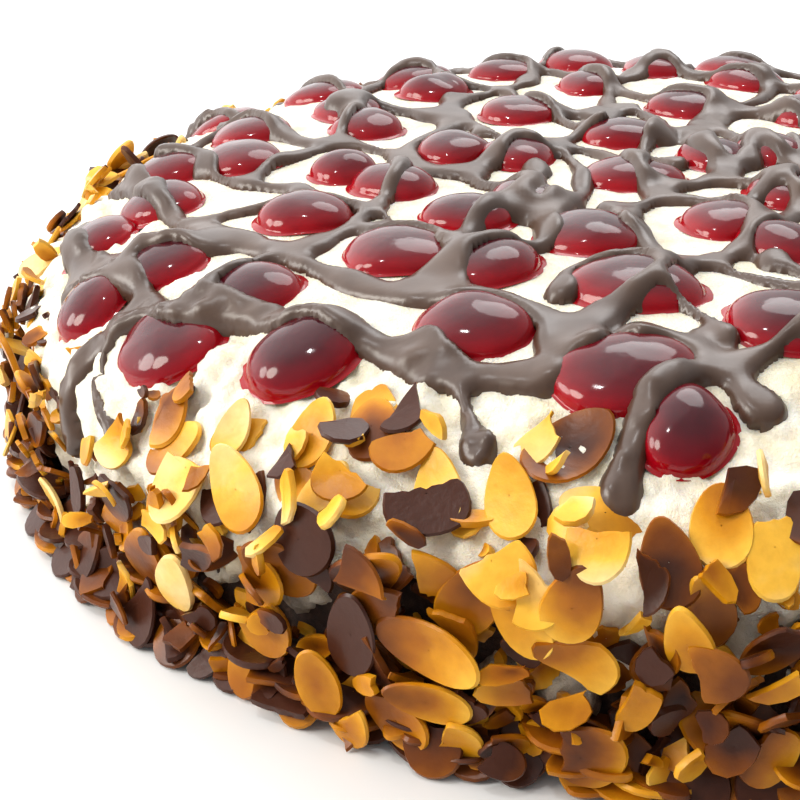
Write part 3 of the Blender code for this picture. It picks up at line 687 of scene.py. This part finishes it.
def strand_paths(cherries):
    """Width shares and plan routes of the strands, by the rule of the part's source."""
    draw = random.Random(STRAND_SEED)
    paths = []
    for share, corners in PLACED_STRANDS:
        paths.append((share, smooth_route([Vector(corner) * MM for corner in corners])))
    reach = int(CAKE_RADIUS / STRAND_PITCH) + 1
    for turn, shift in zip(STRAND_TURNS, STRAND_SHIFTS):
        along = Vector((cos(radians(turn)), sin(radians(turn))))
        across = Vector((-along.y, along.x))
        for index in range(-reach, reach + 1):
            offset = index * STRAND_PITCH + shift + draw.uniform(-0.003, 0.003)
            phase = draw.uniform(0.0, FULL_TURN)
            drips = index % DRIP_EVERY == 1
            ends = [draw.uniform(*(DRIP_REACH if drips else STRAND_REACH)) * CAKE_RADIUS for _ in range(2)]
            if abs(offset) > 0.80 * CAKE_RADIUS:
                continue
            start = -sqrt(ends[0] ** 2 - offset ** 2)
            end = sqrt(ends[1] ** 2 - offset ** 2)
            count = round((end - start) / STRAND_SAMPLE)
            path = []
            for step in range(count + 1):
                way = start + (end - start) * step / count
                wave = STRAND_WAVE * sin(FULL_TURN * way / STRAND_WAVE_LENGTH + phase)
                path.append(pulled(along * way + across * (offset + wave), cherries))
            paths += [(1.0, piece) for piece in outside_placed(path)]
    return paths


CHOCOLATE_CELL = 0.00085
CHOCOLATE_EXTENT = 0.140
CHOCOLATE_HALF_WIDTH = 0.0020
CHOCOLATE_THICKNESS = 0.0017
# How many times its half width a strand's field reaches, and the field's value at its edge
CHOCOLATE_SPREAD = 1.75
CHOCOLATE_EDGE = (1.0 - 1.0 / CHOCOLATE_SPREAD ** 2) ** 2
CHOCOLATE_TUCK = 0.0045
CHOCOLATE_UNDERSIDE = 0.0024
# Waves along a strand: share of its width, turn for each step, and how often its phase
CHOCOLATE_WAVES = ((0.22, 0.24, 1.0), (0.10, 0.71, 2.0))
BLOB_WEIGHT = 0.8
END_BLOB = (0.0024, 0.0036)
SIDE_BLOB = (0.0024, 0.0038)
SIDE_BLOB_STEP = 9
SIDE_BLOB_SHARE = 0.22
SIDE_BLOB_SHIFT = 0.0025


def near_spot(x, y, spot, size):
    """Which plan places lie near a spot, and their squared distance from it against a size."""
    near = (np.abs(x - spot[0]) < size) & (np.abs(y - spot[1]) < size)
    return near, ((x[near] - spot[0]) ** 2 + (y[near] - spot[1]) ** 2) / size ** 2


def blob_field(x, y, blobs):
    """Sum of soft spots: 1 in the middle of each and 0 beyond its size."""
    field = np.zeros(x.shape)
    for spot, size in blobs:
        near, share = near_spot(x, y, spot, size)
        field[near] += np.clip(1.0 - share, 0.0, 1.0) ** 2
    return field


def strand_field(x, y, path, widths):
    """Soft ridge along a route: 1 on it and 0 beyond its width."""
    best = np.full(x.shape, 9.0)
    for point, width in zip(path, widths):
        near, share = near_spot(x, y, point, width)
        best[near] = np.minimum(best[near], share)
    return np.clip(1.0 - best, 0.0, 1.0) ** 2


def blurred(grid, cells):
    """Grid smoothed by a bell window."""
    window = np.hanning(2 * cells + 3)[1:-1]
    window /= window.sum()
    rows = np.apply_along_axis(lambda line: np.convolve(line, window, "same"), 0, grid)
    return np.apply_along_axis(lambda line: np.convolve(line, window, "same"), 1, rows)


def chocolate_field(paths, x, y):
    """How much chocolate lies at plan places, from strands and from blobs at their ends and sides."""
    draw = random.Random(STRAND_SEED + 1)
    field = np.zeros(x.shape)
    blobs = []
    for share, path in paths:
        phase = draw.uniform(0.0, FULL_TURN)
        widest = CHOCOLATE_HALF_WIDTH * share * draw.uniform(0.92, 1.10) * CHOCOLATE_SPREAD
        steps = np.arange(len(path))
        waves = [size * np.sin(turn * steps + often * phase) for size, turn, often in CHOCOLATE_WAVES]
        widths = widest * (1.0 + sum(waves))
        field += strand_field(x, y, path, widths)
        for end in (path[0], path[-1]):
            blobs.append((end, draw.uniform(*END_BLOB) * share * CHOCOLATE_SPREAD))
        for point in path[::SIDE_BLOB_STEP]:
            if draw.random() < SIDE_BLOB_SHARE:
                shift = Vector([draw.uniform(-SIDE_BLOB_SHIFT, SIDE_BLOB_SHIFT) for _ in range(2)])
                blobs.append((point + shift, draw.uniform(*SIDE_BLOB) * CHOCOLATE_SPREAD))
    return field + BLOB_WEIGHT * blob_field(x, y, blobs)


def chocolate_piece(cherries, paths, material):
    """One closed sheet of poured strands, pools and drips that lies on cream and cherries."""
    line = np.arange(-CHOCOLATE_EXTENT, CHOCOLATE_EXTENT, CHOCOLATE_CELL)
    x, y = np.meshgrid(line, line, indexing="ij")
    field = chocolate_field(paths, x, y)
    above = np.clip((field - CHOCOLATE_EDGE) / (1.0 - CHOCOLATE_EDGE), 0.0, 1.6)
    below = np.clip((CHOCOLATE_EDGE - field) / CHOCOLATE_EDGE, 0.0, 1.0)
    thick = CHOCOLATE_THICKNESS * np.sqrt(above) / (1.0 + 0.18 * above) - CHOCOLATE_TUCK * below
    thick = blurred(thick, 1)
    rise = blurred(dome_rise(cherries, x, y), 3)
    bridge = smoothstep(-0.15, 0.30, field - CHOCOLATE_EDGE)
    rise += bridge * np.maximum(blurred(rise, 6) - rise, 0.0)

    keep = field > 0.55 * CHOCOLATE_EDGE
    cells = keep[:-1, :-1] & keep[1:, :-1] & keep[:-1, 1:] & keep[1:, 1:]
    used = np.zeros(x.shape, bool)
    for dx, dy in np.ndindex(2, 2):
        used[dx:dx + cells.shape[0], dy:dy + cells.shape[1]] |= cells
    count = int(used.sum())
    number = np.full(x.shape, -1)
    number[used] = np.arange(count)

    base, normal = skin(x[used], y[used])
    lift = rise[used] + thick[used] + 0.00015 * value_noise(base, 0.007, 51)
    lift += 0.8 * np.maximum(cream_lumps(base, np.hypot(x[used], y[used])), 0.0)
    top = base + normal * lift[:, None]
    under = base + normal * (rise[used] - CHOCOLATE_UNDERSIDE)[:, None]

    i, j = np.nonzero(cells)
    corners = np.stack((number[i, j], number[i + 1, j], number[i + 1, j + 1], number[i, j + 1]), axis=-1)
    edges = np.concatenate([corners[:, [k, (k + 1) % 4]] for k in range(4)])
    keys = {(int(a), int(b)) for a, b in edges}
    walls = sorted((b, a, a + count, b + count) for a, b in keys if (b, a) not in keys)
    faces = np.concatenate((corners, corners[:, ::-1] + count, np.array(walls)))
    return mesh_piece("poured_chocolate", np.concatenate((top, under)), faces, material)


# Flaked almonds

# The flakes that stand out in the photograph: azimuth in degrees, reach, length and width in
# millimetres, roll from upright in degrees, and tone
PLACED_FLAKES = (
    (247, 130, 12.5, 7.5, 60, 0.45), (250, 131, 13.0, 8.0, -30, 0.60), (253, 132, 12.0, 7.0, 40, 0.35),
    (245, 134, 11.5, 7.5, -60, 0.70), (249, 135, 12.0, 6.5, 15, 0.55),
    (228, 127, 18.0, 9.5, 5, 0.12), (233, 127, 14.8, 7.4, 50, 0.22), (222, 135, 9.0, 8.6, 5, 1.00),
    (220, 128, 10.8, 7.2, -10, 0.30), (223, 122, 13.5, 8.1, 25, 0.60), (224, 118, 8.1, 4.0, 0, 0.60),
    (230, 121, 9.9, 5.0, 10, 0.08), (236, 118, 11.2, 7.0, -5, 0.30), (239, 124, 9.9, 6.3, -20, 0.15),
    (240, 122, 9.0, 7.7, 20, 0.35), (239, 112, 13.5, 7.2, 32, 0.30), (240, 115, 10.8, 8.1, 25, 0.65),
    (243, 116, 10.8, 9.0, -40, 0.50), (242, 111, 11.7, 6.8, -15, 1.00), (229, 143, 12.2, 7.0, -15, 0.00),
    (225, 143, 11.7, 9.0, -10, 0.65), (222, 152, 14.8, 7.2, -15, 0.35), (210, 153, 13.1, 9.9, 35, 0.10),
    (235, 136, 13.1, 9.0, 70, 0.55), (236, 143, 12.6, 8.6, 25, 0.45), (239, 129, 10.8, 9.9, 50, 0.95),
    (243, 139, 14.0, 8.1, -5, 0.90), (243, 130, 12.6, 9.0, 60, 0.75), (241, 148, 11.7, 6.8, 12, 0.50),
    (243, 153, 9.0, 7.2, 0, 0.40), (233, 132, 9.0, 7.2, 60, 0.45), (254, 112, 15.3, 9.9, -35, 0.75),
    (252, 111, 11.7, 5.9, -20, 0.15), (246, 122, 12.2, 11.2, 20, 1.00), (251, 120, 12.6, 6.8, 20, 0.25),
    (251, 127, 14.0, 9.0, 52, 0.20), (254, 128, 12.6, 9.0, -20, 0.12), (256, 129, 12.2, 7.7, -15, 0.50),
    (257, 120, 12.6, 7.7, 75, 0.30), (257, 125, 11.2, 8.6, 0, 0.30), (261, 125, 12.2, 7.7, 15, 0.75),
    (260, 126, 11.7, 5.4, -5, 0.85), (264, 121, 11.7, 8.1, 0, 0.35), (267, 123, 14.0, 6.8, -2, 0.20),
    (248, 138, 16.2, 8.8, 80, 0.50), (256, 136, 13.5, 9.9, 40, 0.50), (252, 136, 11.2, 5.0, -30, 0.35),
    (263, 135, 12.6, 7.9, 85, 0.55), (260, 140, 12.2, 5.4, -15, 0.45), (257, 150, 12.2, 10.3, 80, 0.70),
    (248, 146, 12.6, 5.9, 80, 0.50), (249, 152, 11.2, 7.7, 80, 0.40), (246, 151, 10.8, 7.2, 60, 0.60),
    (267, 148, 9.9, 9.0, 60, 0.65),
)
PLACED_FLAKES_SPAN = (165.0, 270.0)
PLACED_FLAKES_REACH = 0.1195

# Rows from the shoulder down to the foot: reach, how many round the cake, roll, and tone, which is painted
# darker further down as shade
FLAKE_ROWS = (
    (0.1080, 16, 20.0, 0.20), (0.1145, 44, 22.0, 0.22), (0.1205, 70, 25.0, 0.26), (0.1265, 80, 30.0, 0.32),
    (0.1325, 90, 40.0, 0.42), (0.1385, 88, 50.0, 0.50), (0.1440, 80, 60.0, 0.56), (0.1495, 78, 72.0, 0.60),
    (0.1535, 64, 80.0, 0.64),
)
FLAKE_CHERRY_ROOM = 0.0035
FLAKE_DRIP_ROOM = 0.0070
FLAKE_LENGTHS = (0.0070, 0.0190, 0.0120)
# Where the flakes begin to lie looser, darker and more broken, and where they do so in full; the darker tone
# is painted shade
LOOSE_REACH = (0.119, 0.140)
FLAKE_THICKNESSES = (0.0007, 0.0011)
FLAKE_TAPERS = (0.05, 0.38)
# A dark flake's tone and its spread, the spread of other tones and their darkest
DARK_TONE = 0.85
DARK_SPREAD = 0.07
TONE_SPREAD = 0.15
TONE_DARKEST = 0.8
# Bare patches of cream near the top: how far down, their width, and the noise above which they lie
PATCH_REACH = 0.127
PATCH_WIDTH = 0.020
PATCH_NOISE = 0.42
FLAKE_CREASE = 42.0
MAP_STEP = 0.0003
MAP_START = 0.075
MAP_RADII = np.arange(0.078, 0.1402, MAP_STEP)
MAP_HEIGHTS = np.arange(-0.004, 0.0610, MAP_STEP)
COVER_CELL = 0.0014
COVER_START = 0.085
DRIP_START = 0.110
FLOOR_GAP = 0.0004


def skin_map():
    """Distance from the skin and nearest reach, over the plane of radius and height."""
    radius, height = np.meshgrid(MAP_RADII, MAP_HEIGHTS, indexing="ij")
    best = np.full(radius.shape, 9.0)
    away = np.zeros(radius.shape)
    near = np.zeros(radius.shape)
    for at in range(int(MAP_START / PROFILE_STEP), len(REACH)):
        dr, dz = radius - PROFILE_RADIUS[at], height - PROFILE_HEIGHT[at]
        square = dr * dr + dz * dz
        closer = square < best
        best[closer] = square[closer]
        near[closer] = REACH[at]
        away[closer] = (dr * PROFILE_OUT[at] + dz * PROFILE_UP[at])[closer]
    return np.sign(away) * np.sqrt(best), near


class SideCover:
    """How thick the almonds already lie on each spot of the side, and what lies where."""

    def __init__(self, cherries, paths):
        self.cherries = cherries
        self.drips = [point for _, path in paths for point in path if point.length > DRIP_START]
        self.away, self.near = skin_map()
        self.rows = int((CAKE_RADIUS + SHOULDER_HEIGHT - COVER_START) / COVER_CELL) + 2
        self.columns = round(FULL_TURN * CAKE_RADIUS / COVER_CELL)
        self.depth = np.zeros((self.rows, self.columns))

    def locate(self, points):
        """Distance from the skin and cell of each point."""
        radius = np.hypot(points[:, 0], points[:, 1])
        i = np.clip(((radius - MAP_RADII[0]) / MAP_STEP).round().astype(int), 0, len(MAP_RADII) - 1)
        j = np.clip(((points[:, 2] - MAP_HEIGHTS[0]) / MAP_STEP).round().astype(int), 0, len(MAP_HEIGHTS) - 1)
        row = np.clip(((self.near[i, j] - COVER_START) / COVER_CELL).astype(int), 0, self.rows - 1)
        turn = np.arctan2(points[:, 1], points[:, 0]) / (FULL_TURN)
        column = (turn * self.columns).astype(int) % self.columns
        return self.away[i, j], row, column

    def rest(self, points, normal, share, sink):
        """Lower points along the normal until a share of them lies in what is there already."""
        offset = 0.006
        for _ in range(5):
            away, row, column = self.locate(points + normal * offset)
            offset -= np.quantile(away - self.depth[row, column], share) + sink
        return normal * offset

    def add(self, points, thickness):
        away, row, column = self.locate(points)
        np.maximum.at(self.depth, (row, column), away + 0.5 * thickness)

    def clear(self, angle, reach, room, drip_room):
        """Whether a place keeps clear of every cherry and of the chocolate that runs down."""
        x, y = reach * cos(angle), reach * sin(angle)
        if any(abs(point.x - x) + abs(point.y - y) < drip_room for point in self.drips):
            return False
        return all(hypot(*in_cherry(cherry, x, y, room)) >= 1.0 for cherry in self.cherries)


class Flakes:
    """Collects flakes into one mesh, each with notches at so many knots of its outline."""

    def __init__(self, seed, segments, knots, rings):
        self.draw = random.Random(seed)
        self.segments = segments
        self.knots = knots
        self.rings = rings
        self.points, self.faces, self.tones = [], [], []
        self.count = 0

    def shape(self, length, width, thickness, broken, bend):
        """Plate with a rounded edge, its faces, the tone shift from middle to rim that paints a highlight on
        the rim, and the share along it.
        """
        draw, segments, rings = self.draw, self.segments, self.rings
        angle = angles_round(segments)
        taper = draw.uniform(*FLAKE_TAPERS)
        notches = [draw.uniform(-1.0, 1.0) for _ in range(self.knots)]
        ragged = np.interp(angle, np.linspace(0.0, FULL_TURN, self.knots + 1), [*notches, notches[0]])
        u = 0.5 * length * np.cos(angle) * (1.0 + 0.010 * ragged)
        v = 0.5 * width * np.sin(angle) * (1.0 - taper * np.cos(angle)) * (1.0 + 0.014 * ragged)
        if broken:
            limit = draw.uniform(0.0, 0.6) * 0.5 * length + draw.uniform(-0.9, 0.9) * v
            u = np.where(u > limit, limit + 0.0004 * ragged, u)
            if draw.random() < 0.5:
                limit = draw.uniform(0.1, 0.7) * 0.5 * width + draw.uniform(-0.5, 0.5) * u
                v = np.where(v > limit, limit + 0.0003 * ragged, v)
        shares = np.linspace(0.0, 1.0, rings + 1) ** 0.8
        shares[0], shares[-1] = 0.02, 0.96
        # From the middle of the upper face over the edge to the middle of the lower one
        x, y = np.outer(shares, u), np.outer(shares, v)
        x, y = np.vstack((x, u, x[::-1])), np.vstack((y, v, y[::-1]))
        side = np.repeat((0.5, 0.0, -0.5), (len(shares), 1, len(shares)))[:, None]
        wider = np.where(side == 0.0, 1.01, 1.0)
        z = 4.0 * bend * ((x / length) ** 2 + 0.35 * (y / width) ** 2) + side * thickness
        points = np.stack((wider * x, wider * y, z), axis=-1).reshape(-1, 3)
        # Painted highlight: the rim is made paler and the middle darker, as where the edge catches the light
        rim = np.concatenate((shares, [1.1], shares[::-1]))
        shift = np.repeat(0.55 - rim ** 1.6, segments)
        along = points[:, 0] / (0.5 * length)
        return points, ring_faces(2 * rings + 3, segments), shift, along

    def toast(self, tone, dark_share):
        """Tone drawn round a middle one, or a dark one for a share of the flakes."""
        if self.draw.random() < dark_share:
            return min(max(self.draw.gauss(DARK_TONE, DARK_SPREAD), 0.0), 1.0)
        return min(max(self.draw.gauss(tone, TONE_SPREAD), 0.0), TONE_DARKEST)

    def put(self, placed, faces, tones):
        self.faces.append(faces + self.count)
        self.points.append(placed)
        self.tones.append(tones)
        self.count += len(placed)

    def tones_with_painted_rim_highlight(self, tone, shift, along):
        """Point tones of a flake: a painted highlight makes the rim paler and the middle darker, most on
        brown flakes and not on the darkest, and pale ones have one toasted end.
        """
        end = self.draw.uniform(-0.34, 0.34)
        # How strong the painted rim highlight is on this flake
        edge = self.draw.uniform(0.0, 0.34) * min(1.0, 0.1 + 1.1 * tone) * (tone < 0.86)
        return np.clip(tone + edge * shift + end * along, 0.0, 1.0)

    def on_side(self, cover, angle, reach, length, width, roll, tip, sway, tone, broken, share, sink):
        """Lay a flake on the side over what is there, tipped and swayed out of the skin's plane."""
        draw = self.draw
        thickness = draw.uniform(*FLAKE_THICKNESSES)
        bend = draw.uniform(-0.0012, 0.0020) * length / 0.016
        local, faces, shift, along = self.shape(length, width, thickness, broken, bend)
        base, normal = skin(np.array([reach * cos(angle)]), np.array([reach * sin(angle)]))
        base, normal = base[0], normal[0]
        across = np.array((-sin(angle), cos(angle), 0.0))
        steep = np.cross(normal, across)
        steep *= np.sign(steep[2])
        long_axis = steep * cos(roll) + across * sin(roll)
        wide_axis = np.cross(normal, long_axis)
        long_axis = long_axis * cos(tip) + normal * sin(tip)
        wide_axis = wide_axis * cos(sway) + normal * sin(sway)
        wide_axis -= long_axis * wide_axis.dot(long_axis)
        wide_axis /= np.linalg.norm(wide_axis)
        face_axis = np.cross(long_axis, wide_axis)
        points = local @ np.array((long_axis, wide_axis, face_axis)) + base
        points[:, 2] += max(0.0, FLOOR_GAP - points[:, 2].min())
        points = points + cover.rest(points, normal, share, sink)
        points[:, 2] += max(0.0, FLOOR_GAP - points[:, 2].min())
        if np.hypot(points[:, 0], points[:, 1]).max() > REACH_LIMIT:
            return False
        grid = points.reshape(-1, self.segments, 3)
        filled = [grid[:-1] * (1.0 - part) + grid[1:] * part for part in (0.0, 0.25, 0.5, 0.75)]
        cover.add(np.concatenate(filled).reshape(-1, 3), thickness)
        self.put(points, faces, self.tones_with_painted_rim_highlight(tone, shift, along))
        return True

    def piece(self, name, material):
        return mesh_piece(name, np.concatenate(self.points), np.concatenate(self.faces), material, {
            "tone": np.concatenate(self.tones),
        }, FLAKE_CREASE)


def side_flakes(cover, material):
    """Whole and broken flakes laid over one another, more upright near the top; their tone varies at random,
    and painted light and shade make it paler near the top and darker further down.
    """
    heap = Flakes(seed=101, segments=28, knots=20, rings=2)
    draw = heap.draw
    spots = []
    for reach, count, roll, tone in FLAKE_ROWS:
        for index in range(count):
            angle = FULL_TURN * (index + draw.uniform(-0.45, 0.45)) / count
            spots.append((angle, reach + draw.uniform(-0.003, 0.003), roll, tone))
    draw.shuffle(spots)
    for angle, reach, roll, tone in spots:
        in_span = PLACED_FLAKES_SPAN[0] < degrees(angle) < PLACED_FLAKES_SPAN[1]
        if in_span and reach < PLACED_FLAKES_REACH:
            continue
        place = np.array([[reach * cos(angle), reach * sin(angle), 0.0]])
        if reach < PATCH_REACH and value_noise(place, PATCH_WIDTH, 71)[0] > PATCH_NOISE:
            continue
        if not cover.clear(angle, reach, FLAKE_CHERRY_ROOM, FLAKE_DRIP_ROOM):
            continue
        # Lower down the flakes lie looser and more broken, and painted shade gives them a darker tone and
        # more dark ones
        low = float(smoothstep(*LOOSE_REACH, reach))
        length = draw.triangular(*FLAKE_LENGTHS) * (1.0 - 0.20 * low)
        for loose in (1.0, 0.4):
            done = heap.on_side(
                cover, angle, reach, length, length * draw.uniform(0.50, 0.68),
                radians(roll * draw.choice((-1.0, 1.0)) + draw.gauss(0.0, 22.0)),
                radians(draw.gauss(2.0 + 9.0 * low, 9.0 + 16.0 * low) * loose),
                radians(draw.gauss(0.0, 9.0 + 14.0 * low) * loose),
                heap.toast(tone + 0.08 * low, 0.14 + 0.40 * low),
                draw.random() < 0.48 + 0.30 * low, 0.10, 0.0006,
            )
            if done:
                break
    for azimuth, reach, length, width, roll, tone in PLACED_FLAKES:
        angle, reach, length, width = radians(azimuth), reach * MM, length * MM, width * MM
        broken = draw.random() < 0.5
        for loose in (1.0, 0.4, 0.0):
            tip = radians(draw.gauss(4.0, 7.0) * loose)
            sway = radians(draw.gauss(0.0, 7.0) * loose)
            if heap.on_side(
                cover, angle, reach, length, width, -radians(roll), tip, sway, tone, broken,
                0.12, 0.0003,
            ):
                break
    return heap.piece("almond_flakes", material)


# Splinters and shards under the flakes and over them: how many, lengths, tilt in degrees, and
# the share that sinks into what is there
BITS_UNDER = (900, (0.0035, 0.0085), 20.0, 0.30)
BITS_OVER = (620, (0.0050, 0.0115), 26.0, 0.15)
BITS_START = 0.110
BITS_CHERRY_ROOM = 0.0015
BITS_DRIP_ROOM = 0.0040


def lay_bits(heap, cover, count, lengths, tilt, share):
    """Lay splinters and shards of almond over what is there, with painted shade making them darker further
    down.
    """
    draw = heap.draw
    for _ in range(count):
        angle = draw.uniform(0.0, FULL_TURN)
        below = 0.047 * draw.random() ** 0.7
        if not cover.clear(angle, BITS_START + below, BITS_CHERRY_ROOM, BITS_DRIP_ROOM):
            continue
        length = draw.uniform(*lengths)
        # Painted shade: bits lower down get a darker tone and more dark ones
        heap.on_side(
            cover, angle, BITS_START + below, length, length * draw.uniform(0.30, 0.75),
            radians(draw.uniform(-90.0, 90.0)),
            radians(draw.gauss(0.0, tilt)),
            radians(draw.gauss(0.0, tilt)),
            heap.toast(0.28 + 5.0 * below, 0.22 + 6.0 * below),
            True, share, 0.0003,
        )


PILE_COUNT = 420
PILE_WIDEST = 4
PILE_LENGTHS = (0.0095, 0.0160)
PILE_THICKNESSES = (0.0008, 0.0012)
PILE_FLOOR_GAP = 0.0003
PILE_HEIGHT = 0.0075
# The pile's outer edge, how far it draws in for each metre of height, and how unevenly
PILE_REACH = 0.1366
PILE_SLOPE = 0.22
PILE_UNEVEN = 0.0028
LEANING_SHARE = 0.4


def pile_flakes(material):
    """Flakes that have slid down and lie about the foot, painted dark as shade, four of them out to the full
    width.
    """
    heap = Flakes(seed=202, segments=24, knots=18, rings=2)
    draw = heap.draw
    for index in range(PILE_COUNT):
        widest = index % (PILE_COUNT // PILE_WIDEST) == 0
        angle = FULL_TURN * (index + (0.0 if widest else draw.uniform(-0.5, 0.5))) / PILE_COUNT
        length = draw.uniform(*PILE_LENGTHS)
        bend = draw.uniform(-0.0008, 0.0014)
        width = length * draw.uniform(0.50, 0.70)
        thickness = draw.uniform(*PILE_THICKNESSES)
        local, faces, shift, along = heap.shape(length, width, thickness, draw.random() < 0.5, bend)
        leaning = draw.random() < LEANING_SHARE
        pitch = radians(draw.uniform(35.0, 75.0) if leaning else draw.gauss(8.0, 12.0))
        roll = draw.uniform(-0.6, 0.6) if leaning else draw.uniform(-pi, pi)
        outward = np.array((cos(angle), sin(angle), 0.0))
        tangent = np.array((-outward[1], outward[0], 0.0))
        inward_up = -outward * cos(pitch) + np.array((0.0, 0.0, sin(pitch)))
        normal = np.cross(tangent, inward_up)
        long_axis = inward_up * cos(roll) + tangent * sin(roll)
        points = local @ np.array((long_axis, np.cross(normal, long_axis), normal))
        height = PILE_FLOOR_GAP + PILE_HEIGHT * draw.random() ** 1.6
        if leaning:
            points[:, 2] += PILE_FLOOR_GAP - points[:, 2].min()
        else:
            points[:, 2] += max(height - points[:, 2].min(), 0.0)
        edge = REACH_LIMIT
        if not widest:
            edge = min(edge, PILE_REACH - PILE_SLOPE * height - PILE_UNEVEN * draw.random() ** 2.0)
        points += outward * (edge - (points @ outward).max())
        # Painted shade: the pile's flakes take a dark middle tone and a large share of dark ones
        heap.put(points, faces, heap.tones_with_painted_rim_highlight(heap.toast(0.62, 0.58), shift, along))
    return heap.piece("almond_pile", material)


# Stage

def make_camera():
    data = bpy.data.cameras.new("camera")
    data.lens = CAMERA_LENS
    data.sensor_width = SENSOR
    data.clip_start = 0.01
    camera = add_object("camera", data)
    camera.location = CAMERA_PLACE
    camera.rotation_euler = (radians(CAMERA_PITCH), 0.0, 0.0)
    bpy.context.scene.camera = camera


# The world is bright towards this direction and dim away from it
WORLD_BRIGHT = (-0.28, 0.34, 0.27)
WORLD_SHADES = ((0.15, (0.22, 0.22, 0.23)), (0.45, (0.60, 0.60, 0.61)), (0.75, (1.0, 1.0, 1.0)))
# Each light: place, size, power and colour
LIGHTS = {
    "key_behind": ((0.25, 0.65, 0.90), 0.70, 5.0, (1.0, 1.0, 1.0)),
    "front_fill": ((-0.76, -0.34, 0.52), 0.35, 4.3, (1.0, 0.95, 0.86)),
    "left_fill": ((-0.90, -0.05, 0.36), 0.35, 3.0, (1.0, 0.97, 0.92)),
    "glint": ((-0.25, -0.20, 0.75), 0.05, 0.9, (1.0, 1.0, 1.0)),
}
LIGHTS_AIM = Vector((0.0, 0.0, 0.03))
FLOOR_SIZE = 40.0


def make_world():
    world = bpy.data.worlds.new("soft_white")
    world.use_nodes = True
    tree = Nodes(world.node_tree)
    place = tree.nodes.new("ShaderNodeTexCoord")
    towards = tree.nodes.new("ShaderNodeVectorMath")
    towards.operation = "DOT_PRODUCT"
    towards.inputs[1].default_value = WORLD_BRIGHT
    tree.links.new(place.outputs["Generated"], towards.inputs[0])
    share = tree.math("ADD", towards.outputs["Value"], 0.5)
    glow = tree.nodes.new("ShaderNodeMapRange")
    set_sockets(glow, {"From Min": 0.76, "From Max": 0.96, "To Min": 1.0, "To Max": 2.4})
    tree.links.new(share, glow.inputs["Value"])
    background = tree.nodes["Background"].inputs
    tree.links.new(tree.ramp(share, WORLD_SHADES), background["Color"])
    tree.links.new(glow.outputs["Result"], background["Strength"])
    return world


def make_stage():
    scene = bpy.context.scene
    scene.view_settings.view_transform = "Standard"
    scene.world = make_world()
    for name, (place, size, power, colour) in LIGHTS.items():
        data = bpy.data.lights.new(name, "AREA")
        data.shape = "DISK"
        data.size = size
        data.energy = power
        data.color = colour
        light = add_object(name, data)
        light.location = place
        light.rotation_euler = (LIGHTS_AIM - Vector(place)).to_track_quat("-Z", "Y").to_euler()
    bpy.ops.mesh.primitive_plane_add(size=FLOOR_SIZE, location=(0.0, 0.0, 0.0))
    floor = bpy.context.object
    floor.name = "floor"
    floor.data.materials.append(floor_material())


def main():
    make_camera()
    make_stage()
    cherries = cherry_layout()
    pair_up(cherries)
    set_rises(cherries)

    cream = cream_piece(cream_material())
    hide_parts("cream")
    sponge = sponge_piece(sponge_material())
    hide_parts("sponge")
    fruit = cherries_piece(cherries, cherry_material())
    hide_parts(*(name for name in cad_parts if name.startswith("cherry_")))
    paths = strand_paths(cherries)
    chocolate_piece(cherries, paths, chocolate_material())
    almond = almond_material()
    pile_flakes(almond)
    cover = SideCover(cherries, paths)
    bits = Flakes(seed=303, segments=12, knots=10, rings=1)
    lay_bits(bits, cover, *BITS_UNDER)
    side_flakes(cover, almond)
    lay_bits(bits, cover, *BITS_OVER)
    bits.piece("almond_bits", almond)


main()
